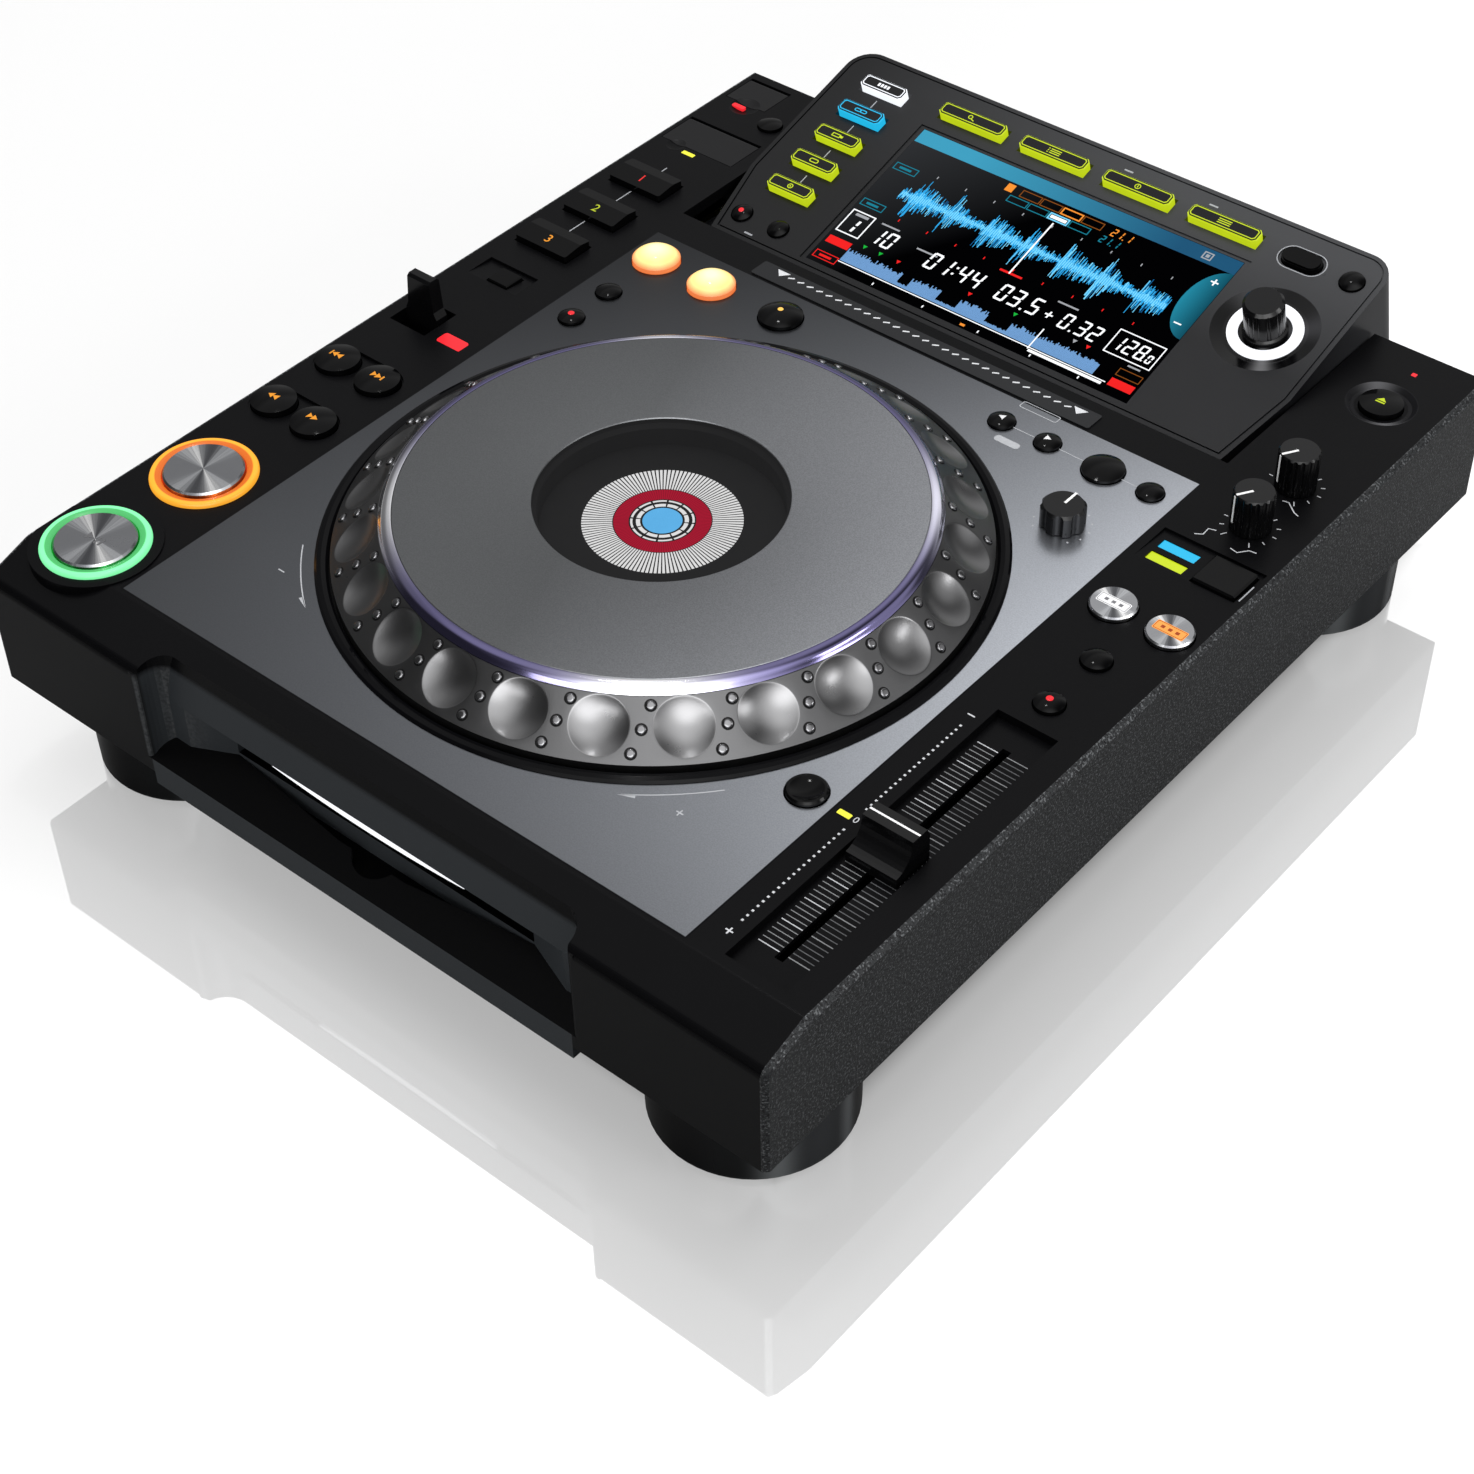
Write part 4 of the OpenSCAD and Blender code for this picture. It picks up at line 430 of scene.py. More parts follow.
class Wiring:
    """Short ways to make and join the nodes of a material or of the world."""

    def __init__(self, tree):
        self.tree = tree

    def new(self, kind, **values):
        node = self.tree.nodes.new(kind)
        for key, value in values.items():
            setattr(node, key, value)
        return node

    def link(self, a, b):
        self.tree.links.new(a, b)

    def feed(self, value, socket):
        """Links a socket to another node's, or sets it to a number or a colour."""
        if isinstance(value, bpy.types.NodeSocket):
            self.link(value, socket)
        elif isinstance(value, (list, tuple)):
            socket.default_value = (*value[:3], 1)
        else:
            socket.default_value = value

    def mix(self, factor, a, b):
        """A colour that goes from a to b with a factor."""
        node = self.new("ShaderNodeMix", data_type="RGBA")
        for value, socket in ((factor, 0), (a, 6), (b, 7)):
            self.feed(value, node.inputs[socket])
        return node.outputs[2]

    def blend(self, factor, a, b):
        """A number that goes from a to b with a factor."""
        node = self.new("ShaderNodeMix", data_type="FLOAT")
        for value, socket in ((factor, 0), (a, 2), (b, 3)):
            self.feed(value, node.inputs[socket])
        return node.outputs[0]

    def range(self, value, low, high, from_low=0.0, from_high=1.0, smooth=False):
        """A number that goes from low to high while the value goes from from_low to from_high."""
        node = self.new("ShaderNodeMapRange", interpolation_type="SMOOTHSTEP" if smooth else "LINEAR")
        for i, v in enumerate((value, from_low, from_high, low, high)):
            self.feed(v, node.inputs[i])
        return node.outputs[0]

    def math(self, kind, a, b=0.0):
        node = self.new("ShaderNodeMath", operation=kind)
        self.feed(a, node.inputs[0])
        self.feed(b, node.inputs[1])
        return node.outputs[0]

    def dot(self, value, way):
        """How far a vector reaches along a direction."""
        node = self.new("ShaderNodeVectorMath", operation="DOT_PRODUCT")
        node.inputs[1].default_value = way
        self.link(value, node.inputs[0])
        return node.outputs["Value"]

    def part(self, value, name):
        """The X, Y or Z of a vector."""
        node = self.new("ShaderNodeSeparateXYZ")
        self.link(value, node.inputs[0])
        return node.outputs["XYZ".index(name)]


class Finish(Wiring):
    """A principled material with the nodes that most finishes share."""

    def __init__(self, name, colour, rough=0.5, metal=0.0, level=0.5, tint=0.08, patch=30.0, rough_spread=0.05):
        self.material = bpy.data.materials.new(name)
        self.material.use_nodes = True
        super().__init__(self.material.node_tree)
        self.bsdf = self.tree.nodes["Principled BSDF"]
        self.coords = self.new("ShaderNodeTexCoord").outputs["Object"]
        self.to(metal, "Metallic")
        self.to(level, "Specular IOR Level")
        cloud = self.noise(patch, 3)
        darker, lighter = [c * (1 - tint) for c in colour], [min(c * (1 + tint), 1) for c in colour]
        self.colour = self.mix(cloud, darker, lighter)
        self.to(self.colour, "Base Color")
        self.rough = self.range(self.noise(patch * 4, 4), rough - rough_spread, rough + rough_spread)
        self.to(self.rough, "Roughness")

    def to(self, value, socket):
        self.feed(value, self.bsdf.inputs[socket])
        return self

    def noise(self, scale, detail=2, stretch=None):
        node = self.new("ShaderNodeTexNoise")
        node.inputs["Scale"].default_value = scale
        node.inputs["Detail"].default_value = detail
        source = self.coords
        if stretch:
            squeeze = self.new("ShaderNodeMapping")
            squeeze.inputs["Scale"].default_value = stretch
            self.link(self.coords, squeeze.inputs["Vector"])
            source = squeeze.outputs[0]
        self.link(source, node.inputs["Vector"])
        return node.outputs[0]

    def streaks(self, along, scale, detail=2):
        """Noise that changes along one number alone."""
        node = self.new("ShaderNodeTexNoise", noise_dimensions="1D")
        node.inputs["Scale"].default_value = scale
        node.inputs["Detail"].default_value = detail
        self.link(along, node.inputs["W"])
        return node.outputs[0]

    def axis(self, name):
        return self.part(self.coords, name)

    def radius(self, spot):
        """Distance from the upright axis through a spot, in metres."""
        node = self.new("ShaderNodeVectorMath", operation="LENGTH")
        shift = self.new("ShaderNodeMapping")
        shift.inputs["Location"].default_value = (-spot.x * MM, -spot.y * MM, 0)
        shift.inputs["Scale"].default_value = (1, 1, 0)
        self.link(self.coords, shift.inputs["Vector"])
        self.link(shift.outputs[0], node.inputs[0])
        return node.outputs["Value"]

    def bearing(self, spot):
        """Angle around the upright axis through a spot."""
        north = self.math("SUBTRACT", self.axis("Y"), spot.y * MM)
        east = self.math("SUBTRACT", self.axis("X"), spot.x * MM)
        return self.math("ARCTAN2", north, east)

    def around(self, spot, axis):
        """Distance from the leaning axis through a spot, in metres, and the angle around it."""
        kinds = ("SUBTRACT", "CROSS_PRODUCT", "LENGTH")
        shift, turn, far = (self.new("ShaderNodeVectorMath", operation=kind) for kind in kinds)
        shift.inputs[1].default_value = Vector(spot) * MM
        turn.inputs[1].default_value = axis
        self.link(self.coords, shift.inputs[0])
        self.link(shift.outputs[0], turn.inputs[0])
        self.link(turn.outputs[0], far.inputs[0])
        right = Vector((1, 0, 0))
        across = self.dot(shift.outputs[0], right)
        along = self.dot(shift.outputs[0], Vector(axis).cross(right))
        return far.outputs["Value"], self.math("ARCTAN2", along, across)

    def glints(self, angle, colour, fans):
        """Paints fans of light over a colour as painted highlights, each with its direction in degrees,
        sharpness and shade.
        """
        for way, power, shade in fans:
            turned = self.math("COSINE", self.math("SUBTRACT", angle, math.radians(way)))
            fan = self.math("POWER", self.math("MAXIMUM", turned, 0.0), float(power))
            colour = self.mix(fan, colour, shade)
        return colour

    def bump(self, height, strength, distance=0.00005):
        node = self.new("ShaderNodeBump")
        node.inputs["Strength"].default_value = strength
        node.inputs["Distance"].default_value = distance
        self.link(height, node.inputs["Height"])
        return self.to(node.outputs[0], "Normal")

    def grain(self, scale, strength, distance=0.00005):
        return self.bump(self.noise(scale, 3), strength, distance)

    def light(self, colour, strength):
        return self.to(colour, "Emission Color").to(strength, "Emission Strength")


def lit(name, colour, strength=1.0, edge=None, rough=0.25, level=0.3):
    """Translucent plastic lit from inside, uneven as a lamp behind it makes it."""
    f = Finish(name, [c * 0.3 for c in colour], rough=rough, tint=0.05, level=level)
    bright = f.mix(f.noise(160, 2), [c * 0.86 for c in colour], colour)
    if edge:
        bright = edge(f, bright)
    return f.light(bright, strength)


def ink(name, colour):
    """Printing ink with a fine tooth."""
    f = Finish(name, colour, rough=0.55, level=0.3, tint=0.1, patch=400)
    return f.grain(3000, 0.1, 0.00002)


# ---------------------------------------------------------------- operators

class PLAYER_OT_stage(bpy.types.Operator):
    """Adds the pale floor, the soft lamps, the surroundings and the camera."""

    bl_idname = "player.stage"
    bl_label = "Studio"

    def execute(self, context):
        scene = context.scene
        scene.view_settings.view_transform = "Standard"
        self.floor(scene)
        self.surroundings(scene)
        self.lamps(scene)
        self.camera(scene)
        return {"FINISHED"}

    def floor(self, scene):
        half = 6.0
        mesh = bpy.data.meshes.new("floor")
        mesh.from_pydata([(x * half, y * half, 0) for x, y in rect(2, 2)], [], [(0, 1, 2, 3)])
        floor = bpy.data.objects.new("floor", mesh)
        scene.collection.objects.link(floor)
        mesh.materials.append(self.floor_finish())

    def floor_finish(self):
        """White and half mirroring for the camera, plain and darker for the light on the object."""
        material = bpy.data.materials.new("studio floor")
        material.use_nodes = True
        material.node_tree.nodes.clear()
        f = Wiring(material.node_tree)
        matt, gloss = f.new("ShaderNodeBsdfDiffuse"), f.new("ShaderNodeBsdfGlossy")
        glow = f.new("ShaderNodeEmission")
        clear, out = f.new("ShaderNodeBsdfTransparent"), f.new("ShaderNodeOutputMaterial")
        mixed, total, shown = (f.new("ShaderNode" + kind) for kind in ("MixShader", "AddShader", "MixShader"))
        seen = f.new("ShaderNodeLightPath").outputs["Is Camera Ray"]
        place = f.new("ShaderNodeTexCoord").outputs["Object"]

        # Painted shadow: the floor darkens under the body, where little light comes, from a line just inside
        # its outline
        inset, dark_from, dark_to = 0.006, -0.010, -0.026
        across = f.math("SUBTRACT", f.math("ABSOLUTE", f.part(place, "X")), CAD_BOUNDS[1][0])
        along = f.math("SUBTRACT", f.math("ABSOLUTE", f.part(place, "Y")), abs(FRONT) * MM - inset)
        shade = f.range(f.math("MAXIMUM", across, along), 0.0, 1.0, dark_to, dark_from, smooth=True)
        dim = f.math("MAXIMUM", f.math("ADD", f.math("MULTIPLY", shade, 0.6), 0.4), f.range(seen, 1.0, 0.0))

        # The first number of each range is for the light on the object, the second for the camera
        f.feed(f.math("MULTIPLY", f.range(seen, 0.26, 0.60), dim), matt.inputs["Color"])
        f.feed((1, 1, 1), gloss.inputs["Color"])
        f.feed(0.02, gloss.inputs["Roughness"])
        f.feed((1, 1, 1), glow.inputs["Color"])
        f.feed(f.math("MULTIPLY", f.range(seen, 0.0, 0.366), shade), glow.inputs["Strength"])
        f.feed(f.range(seen, 0.0, 0.5), mixed.inputs[0])
        f.link(matt.outputs[0], mixed.inputs[1])
        f.link(gloss.outputs[0], mixed.inputs[2])
        f.link(mixed.outputs[0], total.inputs[0])
        f.link(glow.outputs[0], total.inputs[1])
        # From below the floor is clear, so the underside can be looked at
        below = f.new("ShaderNodeNewGeometry").outputs["Backfacing"]
        f.feed(f.math("MULTIPLY", below, seen), shown.inputs[0])
        f.link(total.outputs[0], shown.inputs[1])
        f.link(clear.outputs[0], shown.inputs[2])
        f.link(shown.outputs[0], out.inputs[0])
        return material

    def surroundings(self, scene):
        """A pale room for the camera, and soft panels of light for everything that mirrors."""
        world = bpy.data.worlds.new("studio")
        scene.world = world
        world.use_nodes = True
        w = Wiring(world.node_tree)
        back, path = w.tree.nodes["Background"], w.new("ShaderNodeLightPath")
        looking = w.new("ShaderNodeTexCoord").outputs["Generated"]

        def toward(way, low, high, value_low, value_high):
            """A level that changes as the looking direction nears another."""
            near = w.dot(looking, Vector(way).normalized())
            return w.range(near, value_low, value_high, low, high, smooth=True)

        mirrored = toward((1.0, 0.0, 1.0), -0.035, 0.21, 0.45, 0.95)
        mirrored = w.math("MULTIPLY", mirrored, toward((0.0, -1.0, 0.0), 0.12, 0.45, 1.0, 0.15))
        mirrored = w.math("MULTIPLY", mirrored, toward((0.8, 0.45, 0.4), 0.45, 0.80, 1.0, 0.12))
        mirrored = w.math("MULTIPLY", mirrored, toward((-1.0, 0.1, 0.0), 0.75, 0.95, 1.0, 0.35))
        mirrored = w.math("ADD", mirrored, toward((0.45, -0.45, 0.77), 0.66, 0.97, 0.0, 2.5))
        mirrored = w.math("ADD", mirrored, toward((0.55, -0.62, 0.56), 0.91, 0.985, 0.0, 4.0))
        mirrored = w.math("ADD", mirrored, toward((0.69, 0.55, 0.47), 0.88, 0.97, 0.0, 0.8))
        own, room = 0.55, 0.96
        level = w.blend(path.outputs["Is Glossy Ray"], own, mirrored)
        w.feed((1.0, 1.0, 1.0), back.inputs["Color"])
        w.feed(w.blend(path.outputs["Is Camera Ray"], level, room), back.inputs["Strength"])

    def lamps(self, scene):
        def lamp(name, place, target, size, watts, size_y=None, mirrored=True):
            data = bpy.data.lights.new(name, "AREA")
            data.energy, data.size = watts, size
            data.shape = "RECTANGLE"
            data.size_y = size_y or size
            thing = bpy.data.objects.new(name, data)
            thing.location = place
            thing.rotation_euler = (Vector(target) - Vector(place)).to_track_quat("-Z", "Y").to_euler()
            thing.visible_glossy = mirrored
            scene.collection.objects.link(thing)

        lamp("overhead", (-0.4, 0.5, 2.4), (0, 0, 0), 2.2, 42, mirrored=False)
        lamp("right", (1.5, 0.5, 0.9), (0, 0, 0.05), 0.6, 5, 0.3)
        lamp("front", (0.2, -1.6, 0.9), (0, 0, 0.05), 0.9, 4, 0.3)
        lamp("left", (-1.6, -0.5, 1.2), (0, 0, 0.05), 0.9, 4, mirrored=False)
        lamp("spark", (-0.42, 0.22, 2.0), (0, 0, 0.05), 0.12, 3)

    def camera(self, scene):
        data = bpy.data.cameras.new("camera")
        data.sensor_width, data.lens = 36, 68.804
        data.clip_start, data.clip_end = 0.01, 50
        eye = bpy.data.objects.new("camera", data)
        scene.collection.objects.link(eye)
        turn, lift, roll = math.radians(40.899), math.radians(43.669), math.radians(-1.249)
        back = Vector((math.sin(turn) * math.cos(lift), -math.cos(turn) * math.cos(lift), math.sin(lift)))
        side = Vector((0, 0, 1)).cross(back).normalized()
        up = back.cross(side)
        right = side * math.cos(roll) + up * math.sin(roll)
        top = up * math.cos(roll) - side * math.sin(roll)
        spot = Vector((0.46413, -0.56198, 0.64844))
        eye.matrix_world = Matrix.Translation(spot) @ Matrix((right, top, back)).transposed().to_4x4()
        scene.camera = eye


class PLAYER_OT_case(bpy.types.Operator):
    """Finishes the case: pan, side plates, deck with its front, doors, feet and inner parts."""

    bl_idname = "player.case"
    bl_label = "Case"

    def execute(self, context):
        pan = Finish("black sheet", (0.012, 0.012, 0.013), rough=0.42, level=0.25).grain(1800, 0.25)
        dress("lower_case", pan.material)
        self.side_plates()
        self.deck()
        for node in ("usb_door", "sd_door"):
            door = Finish(node.replace("_", " "), (0.0060, 0.0060, 0.0066), rough=0.34, level=0.16)
            dress(node, door.grain(2300, 0.3).material)
        self.feet()
        self.inner_parts()
        switch = Finish("switch", (0.012, 0.012, 0.013), rough=0.3).grain(1500, 0.1)
        dress("power_switch", switch.material)
        return {"FINISHED"}

    def side_plates(self):
        """Dark grey paint with bright flakes and small pits."""
        flakes = Finish("flaked grey plate", (0.020, 0.0215, 0.023), rough=0.42, metal=0.3, level=0.3)
        cells = flakes.new("ShaderNodeTexVoronoi")
        cells.inputs["Scale"].default_value = 1900
        flakes.link(flakes.coords, cells.inputs["Vector"])
        hit = flakes.range(flakes.noise(1250, 1), 0, 1, 0.56, 0.64)
        hole = flakes.range(flakes.noise(1100, 1), 1, 0, 0.38, 0.44)
        tone = flakes.mix(hole, flakes.mix(hit, flakes.colour, (0.11, 0.115, 0.12)), (0.004, 0.004, 0.005))
        flakes.to(tone, "Base Color")
        flakes.bump(cells.outputs["Distance"], 0.7, 0.00012)
        dress("side_plates", flakes.material)

    def deck(self):
        """Grained black, with a smooth and glossier lip along the front edge."""
        deck = Finish("black deck", (0.0024, 0.0024, 0.0028), rough=0.36, level=0.07, tint=0.15)
        lip = deck.range(deck.axis("Y"), 1, 0, behind(18.0) * MM, behind(19.4) * MM)
        low = deck.range(deck.axis("Z"), 1, 0, (DECK - 9.5) * MM, (DECK - 7.0) * MM)
        deck.to(deck.mix(low, self.deck_top(deck), self.deck_front(deck)), "Base Color")
        deck.to(deck.blend(low, deck.blend(lip, deck.rough, 0.24), 0.36), "Roughness")
        fine = deck.noise(2300, 3)
        flat = deck.blend(lip, fine, 0.5)
        deck.bump(deck.blend(low, flat, fine), 0.42, 0.00006)
        dress("top_deck", deck.material)

    def deck_front(self, deck):
        """Of the front, the brow and the lower lip's face are paler, and what faces up is darkest, a painted
        shade.
        """
        normal = deck.new("ShaderNodeNewGeometry").outputs["Normal"]
        deep = deck.range(deck.axis("Y"), 0, 1, behind(1.0) * MM, behind(2.2) * MM)
        middle = deck.range(deck.math("ABSOLUTE", deck.axis("X")), 1, 0, RECESS * MM, (RECESS + 0.1) * MM)
        bottom = deck.range(deck.axis("Z"), 1, 0, (BASE + 8) * MM, (BASE + 10) * MM)
        under = deck.math("MULTIPLY", middle, bottom)
        front = deck.mix(deck.math("MAXIMUM", deep, under), (0.0055, 0.0056, 0.0060), (0.036, 0.040, 0.044))
        # Painted shade: what faces up on the front is made darkest, chosen by its normal
        upward = deck.range(deck.part(normal, "Z"), 0, 1, 0.25, 0.75)
        front = deck.mix(upward, front, (0.0010, 0.0010, 0.0012))
        # Painted highlight: the rounded left edge of the slot recess is made paler, where it would catch the
        # light
        rounding = deck.range(deck.dot(normal, Vector((0.55, -0.83, 0.0)).normalized()), 0, 1, 0.90, 0.99)
        left = deck.range(deck.axis("X"), 1, 0, -0.080, -0.070)
        speckle = deck.range(deck.noise(900, 2), 0, 1, 0.3, 0.7)
        gleam = deck.mix(speckle, (0.034, 0.036, 0.038), (0.080, 0.084, 0.088))
        return deck.mix(deck.math("MULTIPLY", rounding, left), front, gleam)

    def deck_top(self, deck):
        """Plain black, with a glossy ring around the eject button that carries a painted fan of light."""
        spot, fan_at = SEAT["eject_button"], 2.2
        r = deck.radius(spot)
        # Painted highlight: a fan of light laid into the ring's colour by angle around the button
        turned = deck.math("COSINE", deck.math("SUBTRACT", deck.bearing(spot), fan_at))
        fan = deck.math("POWER", deck.math("ABSOLUTE", turned), 10.0)
        ring = deck.math("MULTIPLY", deck.range(r, 0, 1, 0.0088, 0.0090), deck.range(r, 1, 0, 0.0119, 0.0121))
        return deck.mix(ring, deck.colour, deck.mix(fan, (0.008, 0.008, 0.009), (0.10, 0.10, 0.105)))

    def feet(self):
        """Brushed drums with painted upright streaks of light, a pale rim above and a rubber pad below."""
        foot = Finish("brushed black foot", (0.0018, 0.0018, 0.0021), rough=0.16, level=0.10)
        rim = foot.range(foot.axis("Z"), 0, 1, (BASE - 1.7) * MM, (BASE - 1.2) * MM)
        pad = foot.range(foot.axis("Z"), 1, 0, 1.9 * MM, 2.1 * MM)
        low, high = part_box("feet")
        wide = high[0] - FOOT * MM
        fore = foot.range(foot.axis("Y"), low[1] + FOOT * MM, high[1] - FOOT * MM, -0.001, 0.001)
        middle = foot.math("MULTIPLY", foot.math("SIGN", foot.axis("X")), wide)
        beside = foot.math("SUBTRACT", foot.axis("X"), middle)
        angle = foot.math("ARCTAN2", foot.math("SUBTRACT", foot.axis("Y"), fore), beside)
        # Painted highlights: upright streaks of light laid into the colour by angle round each foot
        tone = foot.glints(angle, foot.colour, (
            (-62, 22, (0.010, 0.0105, 0.011)), (-14, 16, (0.036, 0.038, 0.041)),
            (-38, 70, (0.16, 0.17, 0.175)), (8, 200, (0.10, 0.105, 0.11)),
        ))
        foot.to(foot.mix(rim, tone, (0.09, 0.09, 0.095)), "Base Color")
        foot.to(foot.blend(pad, foot.blend(rim, foot.rough, 0.16), 0.8), "Roughness")
        foot.bump(foot.noise(900, 2, (1, 1, 0.02)), 0.12, 0.00003)
        dress("feet", foot.material)

    def inner_parts(self):
        """Plated metal, duller on the low boards, and black plastic at the inlet."""
        inner = Finish("plated inner parts", (0.32, 0.32, 0.33), rough=0.34, metal=0.8)
        low_board = inner.range(inner.axis("Z"), 1, 0, (BASE + 7.5) * MM, (BASE + 8.0) * MM)
        rear = inner.range(inner.axis("Y"), 0, 1, (REAR - 20.5) * MM, (REAR - 20) * MM)
        inlet = inner.math("MULTIPLY", rear, inner.range(inner.axis("X"), 0, 1, 0.120, 0.121))
        inner.to(inner.mix(inlet, inner.colour, (0.012, 0.012, 0.013)), "Base Color")
        inner.to(inner.blend(low_board, inner.rough, 0.5), "Roughness")
        inner.grain(700, 0.15)
        dress("drive_and_boards", inner.material)


class PLAYER_OT_centre_panel(bpy.types.Operator):
    """Finishes the metal panel and the bezel, with the panel's prints and the search strip behind it."""

    bl_idname = "player.centre_panel"
    bl_label = "Centre panel"

    def execute(self, context):
        sizes, colours = context.scene.player_sizes, context.scene.player_colours
        self.panel()
        bezel = Finish(
            "polished black ring", (0.0025, 0.0025, 0.003), rough=0.09, level=0.07, rough_spread=0.015
        )
        bezel.grain(300, 0.02, 0.00002)
        dress("jog_bezel", bezel.material)

        grey = ink("grey print", tuple(colours.print_grey))
        prints = Form()
        self.turn_arrows(prints, sizes)
        self.button_lines(prints, sizes)
        finish_piece("panel_arrows", prints, [grey.material], "body")
        self.search_strip(sizes)
        return {"FINISHED"}

    def panel(self):
        """Satin metal whose painted shine grows towards the rear right, with a dark seam at its edges."""
        panel = Finish("satin grey panel", (0.87, 0.91, 1.0), rough=0.30, metal=0.94, tint=0.02, patch=6)
        # Painted reflection: the colour brightens towards the rear right as a lamp's shine would
        deep = panel.math("SUBTRACT", panel.axis("Y"), FRONT * MM)
        slope = panel.math("ADD", panel.math("MULTIPLY", deep, 33.5), 3.2)
        bend = panel.math("SUBTRACT", 8.36, panel.math("MULTIPLY", deep, 30.3))
        middle = panel.math("MULTIPLY", deep, bend)
        sideways = panel.math("MULTIPLY", slope, panel.axis("X"))
        power = panel.math("ADD", sideways, panel.math("SUBTRACT", middle, 2.26))
        shine = panel.math("MULTIPLY", panel.math("POWER", math.e, power), 1.30)
        tone = panel.mix(shine, (0.0, 0.0, 0.0), panel.colour)
        speckle = panel.range(panel.noise(2200, 2), 0.0, 0.16, 0.35, 0.65)
        tone = panel.mix(speckle, tone, (0.05, 0.05, 0.055))
        low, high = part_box("centre_panel")
        seam_width, soft = 0.0007, 0.0002
        side = panel.math("SUBTRACT", panel.math("ABSOLUTE", panel.axis("X")), high[0] - seam_width)
        end = panel.math("SUBTRACT", low[1] + seam_width, panel.axis("Y"))
        seam = panel.range(panel.math("MAXIMUM", side, end), 0, 1, 0, soft)
        panel.to(panel.mix(seam, tone, (0.004, 0.004, 0.005)), "Base Color")
        panel.grain(5200, 0.10, 0.00002)
        dress("centre_panel", panel.material)

    def turn_arrows(self, form, sizes):
        """Bent arrows beside the wheel, with a bar for backwards and a cross for forwards."""
        r, up = 113.5, sizes.ink
        for start, end, tip in ((220, 235, -1), (305, 320, 1)):
            form.stroke(arc(r, start, end, 18), 0.4, -SINK, up, 0, over("jog_wheel"))
            a = math.radians(end if tip < 0 else start)
            head = Vector((r * math.cos(a), r * math.sin(a)))
            along = Vector((-math.sin(a), math.cos(a))) * -tip
            out = Vector((math.cos(a), math.sin(a)))
            tri = [head + along * 1.2, head - along * 4.2 + out * 1.3, head - along * 4.2]
            if tip > 0:
                tri.reverse()
            form.prism([tuple(p) for p in tri], -SINK, up, 0, over("jog_wheel"))
        backwards, forwards = on_deck(-83.0, JOG.y - 86.0), on_deck(83.0, JOG.y - 88.0)
        form.prism(rect(2.6, sizes.line), -SINK, up, 0, backwards)
        form.prism(rect(2.6, sizes.line), -SINK, up, 0, forwards)
        form.prism(rect(sizes.line, 2.6), -SINK, up * 0.9, 0, forwards)

    def button_lines(self, form, sizes):
        """Lines between the four buttons of the rear right corner, and two outlined fields."""
        room = {
            "call_back_button": 4.6, "call_forward_button": 4.6, "delete_button": 7.0, "memory_button": 4.6,
        }
        for first, second in zip(list(room), list(room)[1:]):
            a, b = SEAT[first], SEAT[second]
            way = (b - a).normalized()
            p, q = a + way * room[first], b - way * room[second]
            form.stroke([(p.x, p.y), (q.x, q.y)], 0.3, -SINK, sizes.ink, 0, on_deck())
        x, y = 53.3, behind(271.3)
        outer, inner = round_rect(15.0, 3.6, 0.9, x=x, y=y), round_rect(14.4, 3.0, 0.7, x=x, y=y)
        form.band(outer, inner, -SINK, sizes.ink, 0, on_deck())
        form.prism(round_rect(9.6, 3.0, 1.2, x=54.3, y=behind(251.4)), -SINK, sizes.ink, 0, on_deck())

    def search_strip(self, sizes):
        """The touch strip behind the panel, with its dashes and the triangles at its ends."""
        top = 0.5
        strip = Finish("search strip", (0.012, 0.0125, 0.014), rough=0.22, level=0.2).grain(2400, 0.1)
        bar = Form().prism(cut_rect(144, 8.6, 0.6, -1.0, behind(277.6)), -SINK, top, 0, on_deck())
        finish_piece("search_strip", bar, [strip.material], "body", sharp=30)
        white = ink("white print", (0.62, 0.63, 0.65))
        row, length, y = marks_tree("row of marks"), 118.0, behind(279.0)
        step = length / (sizes.dashes - 1)
        grow(
            "search_dashes", row, on_deck(-length / 2, y, top), "body", "light_guide", white.material,
            Count=sizes.dashes, Size=(2.4, 0.7, 0.06), Step=(step, 0.0, 0.0), Slant=0.5,
        )
        ends = Form()
        for s in (-1, 1):
            tri = [(s * 63.4, -1.6), (s * 66.2, 1.6), (s * 60.6, 1.6)]
            ends.prism(tri if s > 0 else tri[::-1], -SINK, 0.05, 0, on_deck(0, y, top))
        finish_piece("search_ends", ends, [white.material], "body")


